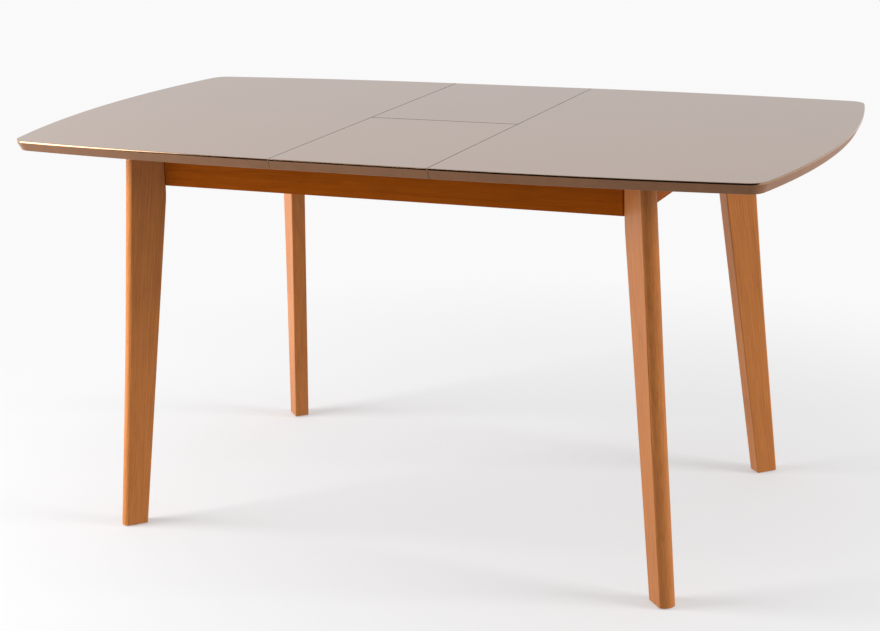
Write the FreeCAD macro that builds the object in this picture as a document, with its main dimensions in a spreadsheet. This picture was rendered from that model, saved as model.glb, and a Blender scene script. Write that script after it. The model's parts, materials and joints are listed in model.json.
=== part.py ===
import FreeCAD, Part
import os

import Sketcher

# An extending dining table with a butterfly leaf, modelled extended, with the leaf in place.
# Millimetres. The origin is on the floor under the middle of the top: +X runs along the table,
# +Y towards its back and +Z up. Two half tops slide apart on the frame. The leaf between them is
# two wings hinged along the middle of the table. Four swing arms lift the back wing and set it
# down between the aprons, while the front wing folds over on top of it.

DRIVING_SIZES = (
    # The top
    ("table_height", 750, "floor to the upper face of the top"),
    ("table_length", 1500, "over the bowed ends, with the leaf in place"),
    ("table_width", 800, "over the straight stretch at the leaf"),
    ("top_thickness", 20, "half tops and leaf wings"),
    ("leaf_length", 300, "from seam to seam, along the table"),
    ("seam_gap", 1, "width of each seam in the top"),
    ("seam_arris", 0.5, "rounding of the upper arrises at the seams"),
    ("side_bow_radius", 3800, "bow of the long edges beyond the leaf"),
    ("end_bow_radius", 1500, "bow of the end edges"),
    ("corner_radius", 38, "corners of the top, in plan"),
    ("edge_strip", 4.5, "upright strip below the upper arris"),
    ("edge_undercut", 9.5, "how far the edge face leans in below that strip"),
    ("upper_arris", 1.6, "rounding of the upper arris"),
    ("lower_arris", 1.6, "rounding where the edge face meets the underside"),
    # The frame
    ("end_overhang", 282, "end of the top to the end apron, with the leaf in place"),
    ("side_overhang", 130, "edge of the top at the leaf to the long apron"),
    ("apron_height", 70, "all four aprons"),
    ("apron_thickness", 22, "all four aprons"),
    ("apron_arris", 1.5, "rounding of the aprons' lower outer arris"),
    ("corner_land", 13.8, "length of the mitre left behind the leg's seat"),
    ("block_side", 50, "corner block, along each apron"),
    ("block_height", 60, "corner block, upright"),
    # The legs
    ("leg_thickness", 30, "board the legs are cut from"),
    ("leg_top_width", 65.4, "width of the leg's board at its top"),
    ("leg_foot_width", 46.8, "width of the leg's board at the floor"),
    ("leg_foot_reach", 132.5, "seat to the foot's outer edge, in plan"),
    ("leg_knee_drop", 87, "top of the leg to the knee, where the inner edge turns upright"),
    ("leg_knee_radius", 260, "softening of the knee"),
    ("leg_bend_drop", 258, "top of the leg to the slow hollow bend of its outer edge"),
    ("leg_bend_length", 210, "height of that bend"),
    ("leg_bend_radius", 14000, "that bend"),
    ("leg_outer_radius", 11, "rounding of the outer edge, from both wide faces"),
    ("leg_arris_radius", 3, "rounding of the inner long arrises"),
    ("glide_radius", 11, "felt glide under each foot"),
    ("glide_thickness", 2, "felt glide under each foot"),
    # Hanger bolts
    ("bolt_radius", 4, "hanger bolt"),
    ("bolt_pitch", 36, "height between the two bolts of a leg"),
    ("bolt_grip", 32, "length in the leg"),
    ("bolt_tip", 3, "length beyond the nut"),
    ("washer_radius", 8.5, "under each nut"),
    ("washer_thickness", 1.6, "under each nut"),
    ("nut_radius", 7.5, "over the corners"),
    ("nut_height", 6.5, "hexagon nut"),
    # Felt pads that carry the top
    ("felt_thickness", 2, "pads on the aprons"),
    ("felt_length", 40, "pads on the aprons"),
    ("felt_width", 12, "pads on the aprons"),
    ("felt_leaf_place", 75, "middle of the table to the pads under the leaf"),
    ("felt_inner_place", 235, "middle of the table to the inner pads under a half top"),
    ("felt_outer_place", 400, "middle of the table to the outer pads under a half top"),
    ("felt_end_place", 120, "middle of an end apron to its pads"),
    # Slides of the half tops
    ("slide_depth", 12.7, "apron to runner"),
    ("slide_drop", 22.5, "top of the apron to the slide's middle"),
    ("slide_wall", 1.2, "folded steel of channel and rail"),
    ("channel_height", 27, "fixed channel"),
    ("channel_depth", 11.2, "fixed channel"),
    ("channel_place", 90, "middle of the table to the channel"),
    ("channel_end_gap", 56, "channel to the end apron"),
    ("rail_height", 19, "moving rail"),
    ("rail_depth", 9.7, "moving rail"),
    ("rail_margin", 6, "end of the runner to the end of its rail"),
    ("liner_width", 7, "nylon liner between channel and rail"),
    ("liner_clearance", 0.1, "liner to rail"),
    ("runner_height", 46, "wooden runner under a half top"),
    ("runner_thickness", 18, "wooden runner under a half top"),
    ("runner_inset", 10, "seam to the runner"),
    ("runner_end_gap", 73.5, "runner to the end apron"),
    ("runner_taper", 14, "bevel at the runner's ends"),
    # Leaf hinges
    ("fold_gap", 0.4, "between the upper faces of the folded wings"),
    ("hinge_place", 95, "middle of the leaf to each hinge"),
    ("cup_length", 60, "hinge cup, along the seam"),
    ("cup_depth", 17, "hinge cup, into the wing's edge"),
    ("cup_cover", 3.5, "wood above the cup"),
    ("cup_floor", 3, "wood below the cup"),
    ("link_radius", 13, "hinge link, about the fold's axis"),
    ("link_width", 6, "hinge link"),
    ("link_pitch", 12, "middle link to outer link"),
    ("link_clearance", 0.3, "link to slot"),
    # Swing arms
    ("swing_angle", 154, "from the leaf in place to the leaf put away, in degrees"),
    ("stow_clearance", 2.6, "folded leaf to the underside of the top"),
    ("pin_drop", 12, "underside of the wing to the leaf pins"),
    ("pin_radius", 4, "pivots and leaf pins"),
    ("pin_head_radius", 7, "heads of the pivots and leaf pins"),
    ("pin_head_length", 2.5, "heads of the pivots and leaf pins"),
    ("running_clearance", 0.05, "pin to bore, on the radius"),
    ("open_clearance", 0.3, "rear leaf pins to their bores, on the radius"),
    ("arm_thickness", 4, "swing arm"),
    ("arm_end_radius", 8, "swing arm"),
    ("arm_end_gap", 3, "between the front and rear arms when put away"),
    ("arm_play", 0.5, "beside each arm, along its pins"),
    ("pin_wall_gap", 14, "rear leaf pins to the back apron"),
    # Swing fitting on the cross rails and on the back wing
    ("cross_rail_place", 88, "middle of the table to a cross rail's near face"),
    ("cross_rail_width", 22, "cross rail"),
    ("cross_rail_height", 20, "cross rail"),
    ("cross_rail_arris_radius", 2, "rounding of the cross rails' lower arrises"),
    ("base_thickness", 2.5, "steel base plate"),
    ("base_height", 22, "steel base plate"),
    ("base_margin", 16, "pivot to the end of the base plate"),
    ("base_corner", 6, "corners of the base plate"),
    ("bracket_thickness", 3, "steel leaf bracket"),
    ("bracket_width", 22.5, "flange of the leaf bracket"),
    ("bracket_margin", 11, "pin to the end of the bracket"),
    ("lug_radius", 9, "ears of the leaf bracket"),
    # Wood screws
    ("screw_radius", 2, "shank"),
    ("screw_head_radius", 4, "countersunk head"),
    ("screw_head_height", 2, "countersunk head"),
    ("bracket_screw_length", 14, "into the back wing"),
    ("base_screw_length", 16, "into a cross rail"),
    ("runner_screw_bite", 12, "into a half top"),
    ("screw_inset", 28, "end of the runner to its outer screws"),
)

UP = FreeCAD.Vector(0, 0, 1)
ALONG = FreeCAD.Vector(1, 0, 0)
ACROSS = FreeCAD.Vector(0, 1, 0)

# Places worked out from the driving sizes
UNDERSIDE = "(Sizes.table_height - Sizes.top_thickness)"
APRON_TOP = f"({UNDERSIDE} - Sizes.felt_thickness)"
APRON_BOTTOM = f"({APRON_TOP} - Sizes.apron_height)"
APRON_MIDDLE = f"({APRON_TOP} - Sizes.apron_height / 2)"
FRAME_LENGTH = "(Sizes.table_length - 2 * Sizes.end_overhang)"
FRAME_WIDTH = "(Sizes.table_width - 2 * Sizes.side_overhang)"
INNER_LENGTH = f"({FRAME_LENGTH} / 2 - Sizes.apron_thickness)"
INNER_WIDTH = f"({FRAME_WIDTH} / 2 - Sizes.apron_thickness)"
KNEE_HEIGHT = f"({APRON_TOP} - Sizes.leg_knee_drop)"
BEND_HIGH = f"({APRON_TOP} - Sizes.leg_bend_drop)"
BEND_LOW = f"({BEND_HIGH} - Sizes.leg_bend_length)"
LAND = "(Sizes.corner_land * sqrt(2) / 2)"
SEAM = "(Sizes.leaf_length / 2 + Sizes.seam_gap / 2)"
HALF_LEAF = "(Sizes.leaf_length / 2 - Sizes.seam_gap / 2)"
HALF_WIDTH = "(Sizes.table_width / 2)"
BLOCK_FACE = "(Sizes.corner_land + Sizes.block_side * sqrt(2) / 2)"
SLIDE_HEIGHT = f"({APRON_TOP} - Sizes.slide_drop)"
RUNNER_FACE = f"({INNER_WIDTH} - Sizes.slide_depth)"
RUNNER_START = f"({SEAM} + Sizes.runner_inset)"
RUNNER_END = f"({INNER_LENGTH} - Sizes.runner_end_gap)"
RUNNER_MIDDLE = f"(({RUNNER_START} + {RUNNER_END}) / 2)"
HALF_RUNNER = f"(({RUNNER_END} - {RUNNER_START}) / 2)"
CHANNEL_END = f"({INNER_LENGTH} - Sizes.channel_end_gap)"
CHANNEL_MIDDLE = f"((Sizes.channel_place + {CHANNEL_END}) / 2)"
CHANNEL_LENGTH = f"({CHANNEL_END} - Sizes.channel_place)"
FOLD_HEIGHT = "(Sizes.table_height + Sizes.fold_gap / 2)"

# The leaf is put away a quarter of the table's width forward, below the underside of the top
STOW_SHIFT = "(Sizes.table_width / 4)"
STOW_DROP = "(2 * Sizes.top_thickness + Sizes.fold_gap + Sizes.stow_clearance)"
ARM_LENGTH = f"(hypot({STOW_SHIFT}; {STOW_DROP}) / 2 / sin(Sizes.swing_angle / 2))"
ARM_START = f"(90 + atan({STOW_DROP} / {STOW_SHIFT}) / 1 deg - Sizes.swing_angle / 2)"
ARM_REACH = f"({ARM_LENGTH} * cos({ARM_START}))"
ARM_RISE = f"({ARM_LENGTH} * sin({ARM_START}))"
PIN_HEIGHT = f"({UNDERSIDE} - Sizes.pin_drop)"
PIVOT_HEIGHT = f"({PIN_HEIGHT} - {ARM_RISE})"
REAR_PIN = f"({INNER_WIDTH} - Sizes.pin_wall_gap)"
ARM_PITCH = f"({ARM_LENGTH} + 2 * Sizes.arm_end_radius + Sizes.arm_end_gap)"
FRONT_PIN = f"({REAR_PIN} - {ARM_PITCH})"
REAR_PIVOT = f"({REAR_PIN} - {ARM_REACH})"
FRONT_PIVOT = f"({FRONT_PIN} - {ARM_REACH})"
BASE_FACE = "(Sizes.cross_rail_place - Sizes.base_thickness)"
ARM_FACE = f"({BASE_FACE} - Sizes.arm_play)"
LUG_FACE = f"({ARM_FACE} - Sizes.arm_thickness - Sizes.arm_play)"

# Corners of the frame: name, side along X, side along Y, turn of the outward diagonal in degrees
CORNERS = (
    ("front_left", -1, -1, -135),
    ("front_right", 1, -1, -45),
    ("back_right", 1, 1, 45),
    ("back_left", -1, 1, 135),
)
SIDES = (("left", -1), ("right", 1))
DEPTHS = (("front", -1), ("back", 1))

DOC = FreeCAD.newDocument("butterfly_leaf_table")
SIZES = DOC.addObject("Spreadsheet::Sheet", "Sizes")
for row, (alias, size, note) in enumerate(DRIVING_SIZES, start=1):
    SIZES.set(f"A{row}", note)
    SIZES.set(f"B{row}", str(size))
    SIZES.setAlias(f"B{row}", alias)
DOC.recompute()

PARTS = []


# ---------------------------------------------------------------- helpers

def value(formula):
    """Return a formula's present value in millimetres or degrees."""
    result = SIZES.evalExpression(formula)
    return float(getattr(result, "Value", result))


def put(piece, x="0", y="0", z="0", axis=UP, turn=0):
    """Place a piece by a formula for each coordinate, turned about an axis through its origin."""
    piece.Placement = FreeCAD.Placement(FreeCAD.Vector(), FreeCAD.Rotation(axis, turn))
    for letter, formula in zip("xyz", (x, y, z)):
        piece.setExpression(f"Placement.Base.{letter}", formula)
    return piece


def part(piece, name):
    """Give a finished sub-part its name and list it for export."""
    piece.Label = name
    PARTS.append(piece)
    return piece


def new_body(name):
    return DOC.addObject("PartDesign::Body", name)


def new_sketch(body, role, name, offset="0"):
    """Open a sketch on one of the body's own origin planes, moved along the plane's normal."""
    sketch = body.newObject("Sketcher::SketchObject", f"{body.Name}_{name}")
    plane = next(item for item in body.Origin.OriginFeatures if item.Role == role)
    sketch.AttachmentSupport = [(plane, "")]
    sketch.MapMode = "FlatFace"
    sketch.setExpression("AttachmentOffset.Base.z", offset)
    return sketch


def dimension(sketch, kind, *where, formula):
    """Add a dimension that follows a formula."""
    index = sketch.addConstraint(Sketcher.Constraint(kind, *where, value(formula)))
    sketch.setExpression(f"Constraints[{index}]", formula)


def pin_point(sketch, edge, end, x, y):
    """Dimension one end of an edge from the sketch's origin."""
    dimension(sketch, "DistanceX", -1, 1, edge, end, formula=x)
    dimension(sketch, "DistanceY", -1, 1, edge, end, formula=y)


def join(sketch, edge, end, other, other_end):
    sketch.addConstraint(Sketcher.Constraint("Coincident", edge, end, other, other_end))


def polygon(sketch, corners):
    """Draw a closed outline of straight edges with a formula for each corner's place."""
    points = [FreeCAD.Vector(value(x), value(y), 0) for x, y in corners]
    first = sketch.GeometryCount
    for start, end in zip(points, points[1:] + points[:1]):
        sketch.addGeometry(Part.LineSegment(start, end), False)
    for index, (x, y) in enumerate(corners):
        join(sketch, first + index, 2, first + (index + 1) % len(corners), 1)
        pin_point(sketch, first + index, 1, x, y)


def rectangle(sketch, x_low, x_high, y_low, y_high):
    polygon(sketch, ((x_low, y_low), (x_high, y_low), (x_high, y_high), (x_low, y_high)))


def circle(sketch, x, y, radius):
    centre = FreeCAD.Vector(value(x), value(y), 0)
    index = sketch.addGeometry(Part.Circle(centre, UP, value(radius)), False)
    pin_point(sketch, index, 3, x, y)
    dimension(sketch, "Radius", index, formula=radius)


def pad(body, sketch, length, symmetric=False):
    feature = body.newObject("PartDesign::Pad", f"{sketch.Name}_pad")
    feature.Profile = sketch
    feature.SideType = "Symmetric" if symmetric else "One side"
    feature.setExpression("Length", length)
    DOC.recompute()
    return feature


def edge_names(shape, wanted):
    """Names of the edges whose middle point passes a test."""
    names = []
    for index, edge in enumerate(shape.Edges, start=1):
        middle = edge.valueAt((edge.FirstParameter + edge.LastParameter) / 2)
        if wanted(middle, edge):
            names.append(f"Edge{index}")
    return names


def fillet(body, radius, wanted):
    """Round the body's edges that pass a test."""
    base = body.Tip
    feature = body.newObject("PartDesign::Fillet", f"{body.Name}_fillet")
    feature.Base = (base, edge_names(base.Shape, wanted))
    feature.setExpression("Radius", radius)
    DOC.recompute()
    return feature


def box(name, length, width, height):
    """A Part box, with a formula for each side."""
    made = DOC.addObject("Part::Box", name)
    made.setExpression("Length", length)
    made.setExpression("Width", width)
    made.setExpression("Height", height)
    return made


def cylinder(name, radius, height):
    made = DOC.addObject("Part::Cylinder", name)
    made.setExpression("Radius", radius)
    made.setExpression("Height", height)
    return made


def boolean(kind, name, base, tool):
    made = DOC.addObject(f"Part::{kind}", name)
    made.Base = base
    made.Tool = tool
    return made


def group(name, pieces):
    """Hold several solids as one sub-part or as one cutting tool."""
    made = DOC.addObject("Part::Compound", name)
    made.Links = pieces
    return made


def at_corner(piece, side_x, side_y, turn):
    """Place a piece at a leg's seat, with its own +X along the outward diagonal."""
    x = f"{side_x} * ({INNER_LENGTH} + {LAND})"
    y = f"{side_y} * ({INNER_WIDTH} + {LAND})"
    return put(piece, x, y, turn=turn)


def near(number, other, within=0.01):
    return abs(number - other) < within


# ---------------------------------------------------------------- fasteners

def screw(name, length, x, y, z, axis=ALONG, turn=0):
    """A countersunk wood screw: its head's flat is at the place given, its tip points to -Z."""
    head = DOC.addObject("Part::Cone", f"{name}_head")
    head.setExpression("Radius1", "Sizes.screw_radius")
    head.setExpression("Radius2", "Sizes.screw_head_radius")
    head.setExpression("Height", "Sizes.screw_head_height")
    put(head, z="-Sizes.screw_head_height")
    shank = cylinder(f"{name}_shank", "Sizes.screw_radius", f"{length} - Sizes.screw_head_height")
    put(shank, z=f"-({length})")
    return put(boolean("Fuse", name, head, shank), x, y, z, axis, turn)


def make_leg_fasteners():
    """Hanger bolts through the mitred corners, with a washer and a hexagon nut on each."""
    bolts = []
    washers = []
    nuts = []
    bolt_length = (f"(Sizes.bolt_grip + {BLOCK_FACE} + Sizes.washer_thickness"
                   " + Sizes.nut_height + Sizes.bolt_tip)")
    for corner, side_x, side_y, turn in CORNERS:
        for level, sign in (("low", -1), ("high", 1)):
            height = f"{APRON_MIDDLE} + {sign} * Sizes.bolt_pitch / 2"
            bolt = cylinder(f"bolt_{corner}_{level}", "Sizes.bolt_radius", bolt_length)
            put(bolt, "Sizes.bolt_grip", z=height, axis=ACROSS, turn=-90)

            disc = cylinder(f"disc_{corner}_{level}", "Sizes.washer_radius", "Sizes.washer_thickness")
            bore = cylinder(f"bore_{corner}_{level}", "Sizes.bolt_radius", "Sizes.washer_thickness")
            washer = boolean("Cut", f"washer_{corner}_{level}", disc, bore)
            put(washer, f"-{BLOCK_FACE}", z=height, axis=ACROSS, turn=-90)

            hexagon = DOC.addObject("Part::Prism", f"hexagon_{corner}_{level}")
            hexagon.Polygon = 6
            hexagon.setExpression("Circumradius", "Sizes.nut_radius")
            hexagon.setExpression("Height", "Sizes.nut_height")
            thread = cylinder(f"thread_{corner}_{level}", "Sizes.bolt_radius", "Sizes.nut_height")
            nut = boolean("Cut", f"nut_{corner}_{level}", hexagon, thread)
            put(nut, f"-({BLOCK_FACE} + Sizes.washer_thickness)", z=height, axis=ACROSS, turn=-90)

            for pieces, piece in ((bolts, bolt), (washers, washer), (nuts, nut)):
                seated = group(f"{piece.Name}_seated", [piece])
                pieces.append(at_corner(seated, side_x, side_y, turn))
    part(group("leg_bolts", bolts), "leg_bolts")
    part(group("leg_washers", washers), "leg_washers")
    part(group("leg_nuts", nuts), "leg_nuts")
    return bolts


# ---------------------------------------------------------------- frame and legs

def leg_outline(sketch):
    """The leg's side view: upright above the knee, with a slow hollow bend in its outer edge."""
    seat_top = FreeCAD.Vector(0, value(APRON_TOP), 0)
    knee = FreeCAD.Vector(0, value(KNEE_HEIGHT), 0)
    outer_toe = FreeCAD.Vector(value("Sizes.leg_foot_reach"), value("Sizes.glide_thickness"), 0)
    inner_toe = outer_toe - FreeCAD.Vector(value("Sizes.leg_foot_width"), 0, 0)
    outer_top = FreeCAD.Vector(value("Sizes.leg_top_width"), seat_top.y, 0)
    fall = (outer_toe - outer_top) / (outer_top.y - outer_toe.y)
    bend_high = outer_top + fall * (outer_top.y - value(BEND_HIGH))
    bend_low = outer_top + fall * (outer_top.y - value(BEND_LOW))
    hollow = (bend_high - bend_low).Length ** 2 / 8 / value("Sizes.leg_bend_radius")
    bend_middle = (bend_high + bend_low) / 2 - FreeCAD.Vector(hollow, 0, 0)
    for start, end in ((seat_top, knee), (knee, inner_toe), (inner_toe, outer_toe),
                       (outer_toe, bend_low), (bend_high, outer_top), (outer_top, seat_top)):
        sketch.addGeometry(Part.LineSegment(start, end), False)
    bend = sketch.addGeometry(Part.Arc(bend_high, bend_middle, bend_low), False)
    for edge, following in ((0, 1), (1, 2), (2, 3), (4, 5), (5, 0)):
        join(sketch, edge, 2, following, 1)
    sketch.addConstraint(Sketcher.Constraint("Tangent", 3, 2, bend, 2))
    sketch.addConstraint(Sketcher.Constraint("Tangent", bend, 1, 4, 1))
    pin_point(sketch, 0, 1, "0", APRON_TOP)
    pin_point(sketch, 1, 1, "0", KNEE_HEIGHT)
    pin_point(sketch, 2, 1, "Sizes.leg_foot_reach - Sizes.leg_foot_width", "Sizes.glide_thickness")
    pin_point(sketch, 3, 1, "Sizes.leg_foot_reach", "Sizes.glide_thickness")
    pin_point(sketch, 5, 1, "Sizes.leg_top_width", APRON_TOP)
    dimension(sketch, "DistanceY", -1, 1, bend, 1, formula=BEND_HIGH)
    dimension(sketch, "DistanceY", -1, 1, bend, 2, formula=BEND_LOW)
    dimension(sketch, "Radius", bend, formula="Sizes.leg_bend_radius")


def make_leg(name, side_x, side_y, turn, bolts):
    """A tapered board that leans out along the diagonal, seated on the frame's cut corner. Its
    outer edge is well rounded, and its inner edge is square with eased arrises."""
    body = new_body(f"{name}_board")
    sketch = new_sketch(body, "XZ_Plane", "profile")
    leg_outline(sketch)
    pad(body, sketch, "Sizes.leg_thickness", symmetric=True)

    knee_level = value(KNEE_HEIGHT)
    fillet(body, "Sizes.leg_knee_radius", lambda at, edge: near(at.x, 0) and near(at.z, knee_level))
    half_board = value("Sizes.leg_thickness / 2")
    low = value("Sizes.glide_thickness")
    high = value(APRON_TOP)
    outside = value("Sizes.leg_top_width")
    fillet(body, "Sizes.leg_outer_radius", lambda at, edge:
           near(abs(at.y), half_board) and at.x > outside and low + 1 < at.z < high - 1)
    fillet(body, "Sizes.leg_arris_radius", lambda at, edge:
           near(abs(at.y), half_board) and at.x < outside and low + 1 < at.z < high - 1)
    at_corner(body, side_x, side_y, turn)
    part(boolean("Cut", name, body, group(f"{name}_bolts", bolts)), name)


def make_apron(name, outer_side, inner_side, turn, bolts):
    """A mitred apron: its corners are cut at 45 degrees where the legs are seated."""
    body = new_body(f"{name}_board")
    sketch = new_sketch(body, "XY_Plane", "plan")
    half = f"({inner_side} / 2)"
    outer = f"({outer_side} / 2)"
    inner = f"({outer} - Sizes.apron_thickness)"
    mitre_x = f"({half} + {LAND})"
    mitre_y = f"({inner} + {LAND})"
    cut_x = f"({half} + {LAND} - ({outer} - {mitre_y}))"
    polygon(sketch, (
        (f"-{half}", inner), (half, inner), (mitre_x, mitre_y), (cut_x, outer),
        (f"-{cut_x}", outer), (f"-{mitre_x}", mitre_y),
    ))
    pad(body, sketch, "Sizes.apron_height")
    face = value(outer)
    fillet(body, "Sizes.apron_arris", lambda at, edge: near(at.y, face) and near(at.z, 0))
    put(body, z=APRON_BOTTOM, turn=turn)
    part(boolean("Cut", name, body, group(f"{name}_bolts", bolts)), name)


def make_corner_block(name, side_x, side_y, turn, bolts):
    """A three-cornered glue block behind a mitre: the nuts bear on its long face."""
    body = new_body(f"{name}_block")
    sketch = new_sketch(body, "XY_Plane", "plan")
    apex = "-Sizes.corner_land"
    back = f"-{BLOCK_FACE}"
    half = "(Sizes.block_side * sqrt(2) / 2)"
    polygon(sketch, ((apex, "0"), (back, half), (back, f"-{half}")))
    pad(body, sketch, "Sizes.block_height", symmetric=True)
    at_corner(body, side_x, side_y, turn)
    body.setExpression("Placement.Base.z", APRON_MIDDLE)
    part(boolean("Cut", name, body, group(f"{name}_bolts", bolts)), name)


def make_glides():
    """A round felt glide under the middle of each foot."""
    glides = []
    for corner, side_x, side_y, turn in CORNERS:
        glide = cylinder(f"glide_{corner}", "Sizes.glide_radius", "Sizes.glide_thickness")
        put(glide, "Sizes.leg_foot_reach - Sizes.leg_foot_width / 2")
        glides.append(at_corner(group(f"glide_{corner}_seated", [glide]), side_x, side_y, turn))
    part(group("foot_glides", glides), "foot_glides")


def make_felt_pads():
    """Felt pads on the aprons: the half tops slide on them and the leaf rests on them."""
    pads = []
    long_places = ("Sizes.felt_leaf_place", "Sizes.felt_inner_place", "Sizes.felt_outer_place")
    over_apron = "(Sizes.apron_thickness / 2)"
    for depth, side_y in DEPTHS:
        for side, side_x in SIDES:
            for index, place in enumerate(long_places):
                felt = box(f"felt_{depth}_{side}_{index}", "Sizes.felt_length", "Sizes.felt_width",
                           "Sizes.felt_thickness")
                put(felt, f"{side_x} * {place} - Sizes.felt_length / 2",
                    f"{side_y} * ({INNER_WIDTH} + {over_apron}) - Sizes.felt_width / 2", APRON_TOP)
                pads.append(felt)
            felt = box(f"felt_end_{depth}_{side}", "Sizes.felt_width", "Sizes.felt_length",
                       "Sizes.felt_thickness")
            put(felt, f"{side_x} * ({INNER_LENGTH} + {over_apron}) - Sizes.felt_width / 2",
                f"{side_y} * Sizes.felt_end_place - Sizes.felt_length / 2", APRON_TOP)
            pads.append(felt)
    part(group("felt_pads", pads), "felt_pads")


# ---------------------------------------------------------------- slides

def folded_section(sketch, back, front, height):
    """A channel of folded steel, open towards its front. The web is at its back."""
    inner_back = f"({back} + Sizes.slide_wall * ({front} - {back}) / abs({front} - {back}))"
    half = f"({height} / 2)"
    inner = f"({half} - Sizes.slide_wall)"
    polygon(sketch, (
        (back, f"-{half}"), (front, f"-{half}"), (front, f"-{inner}"), (inner_back, f"-{inner}"),
        (inner_back, inner), (front, inner), (front, half), (back, half),
    ))


def make_slide(depth, side_y, side, side_x):
    """One drawer-type slide: a channel on the apron, two liners, and a rail on the runner."""
    turn = 0 if side_y > 0 else 180
    across = f"{side_y} * {INNER_WIDTH}"

    channel = new_body(f"slide_channel_{side}_{depth}")
    sketch = new_sketch(channel, "YZ_Plane", "section")
    folded_section(sketch, "0", "-Sizes.channel_depth", "Sizes.channel_height")
    pad(channel, sketch, CHANNEL_LENGTH, symmetric=True)
    channel_middle = f"{side_x} * {CHANNEL_MIDDLE}"
    put(channel, channel_middle, across, SLIDE_HEIGHT, turn=turn)
    part(channel, f"slide_channel_{side}_{depth}")

    rail = new_body(f"slide_rail_{side}_{depth}")
    sketch = new_sketch(rail, "YZ_Plane", "section")
    folded_section(sketch, "-Sizes.slide_depth", "(Sizes.rail_depth - Sizes.slide_depth)",
                   "Sizes.rail_height")
    pad(rail, sketch, f"2 * ({HALF_RUNNER} - Sizes.rail_margin)", symmetric=True)
    put(rail, f"{side_x} * {RUNNER_MIDDLE}", across, SLIDE_HEIGHT, turn=turn)
    part(rail, f"slide_rail_{side}_{depth}")

    liners = []
    room = "(Sizes.channel_height / 2 - Sizes.slide_wall)"
    thickness = f"({room} - Sizes.rail_height / 2 - Sizes.liner_clearance)"
    lip = f"{side_y} * ({INNER_WIDTH} - Sizes.channel_depth + Sizes.liner_width / 2)"
    for level, bottom in (("low", f"-{room}"), ("high", f"({room} - {thickness})")):
        liner = box(f"liner_{side}_{depth}_{level}", CHANNEL_LENGTH, "Sizes.liner_width", thickness)
        put(liner, f"{channel_middle} - {CHANNEL_LENGTH} / 2",
            f"{lip} - Sizes.liner_width / 2", f"{SLIDE_HEIGHT} + {bottom}")
        liners.append(liner)
    return liners


def make_runner(name, side_x, side_y, screws):
    """A wooden runner under a half top, with bevelled ends. It carries the moving rail."""
    body = new_body(f"{name}_board")
    sketch = new_sketch(body, "XZ_Plane", "side")
    foot = f"({HALF_RUNNER} - Sizes.runner_taper)"
    bevel = "-(Sizes.runner_height - Sizes.runner_taper)"
    polygon(sketch, (
        (f"-{HALF_RUNNER}", "0"), (HALF_RUNNER, "0"), (HALF_RUNNER, bevel),
        (foot, "-Sizes.runner_height"), (f"-{foot}", "-Sizes.runner_height"),
        (f"-{HALF_RUNNER}", bevel),
    ))
    pad(body, sketch, "Sizes.runner_thickness", symmetric=True)
    middle = f"{side_x} * {RUNNER_MIDDLE}"
    across = f"{side_y} * ({RUNNER_FACE} - Sizes.runner_thickness / 2)"
    put(body, middle, across, UNDERSIDE)
    for index in (-1, 0, 1):
        place = f"{middle} + {index} * ({HALF_RUNNER} - Sizes.screw_inset)"
        screws.append(screw(f"{name}_screw_{index + 1}", "Sizes.runner_height + Sizes.runner_screw_bite",
                            place, across, f"{UNDERSIDE} - Sizes.runner_height", turn=180))
    part(boolean("Cut", name, body, group(f"{name}_screws", screws[-3:])), name)


# ---------------------------------------------------------------- top and leaf

def undercut_edge(body, wanted):
    """Lean the edge face in towards the underside, below a narrow upright strip."""
    base = body.Tip
    feature = body.newObject("PartDesign::Chamfer", f"{body.Name}_undercut")
    feature.Base = (base, edge_names(base.Shape, wanted))
    feature.ChamferType = "Two distances"
    feature.setExpression("Size", "Sizes.edge_undercut")
    feature.setExpression("Size2", "Sizes.top_thickness - Sizes.edge_strip")
    DOC.recompute()
    inset = value("Sizes.edge_undercut")
    under = [face for face in feature.Shape.Faces if near(face.BoundBox.ZMax, 0)]
    if not near(base.Shape.BoundBox.YMax - max(face.BoundBox.YMax for face in under), inset):
        feature.FlipDirection = True
        DOC.recompute()


def finish_edges(body, is_seam):
    """Undercut the outer edge and round its arrises, and break the upper arrises at the seams."""
    thickness = value("Sizes.top_thickness")
    undercut_edge(body, lambda at, edge: near(at.z, 0) and not is_seam(at))
    fillet(body, "Sizes.lower_arris", lambda at, edge: near(at.z, 0) and not is_seam(at))
    fillet(body, "Sizes.upper_arris", lambda at, edge: near(at.z, thickness) and not is_seam(at))
    fillet(body, "Sizes.seam_arris", lambda at, edge: near(at.z, thickness) and is_seam(at))


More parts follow.
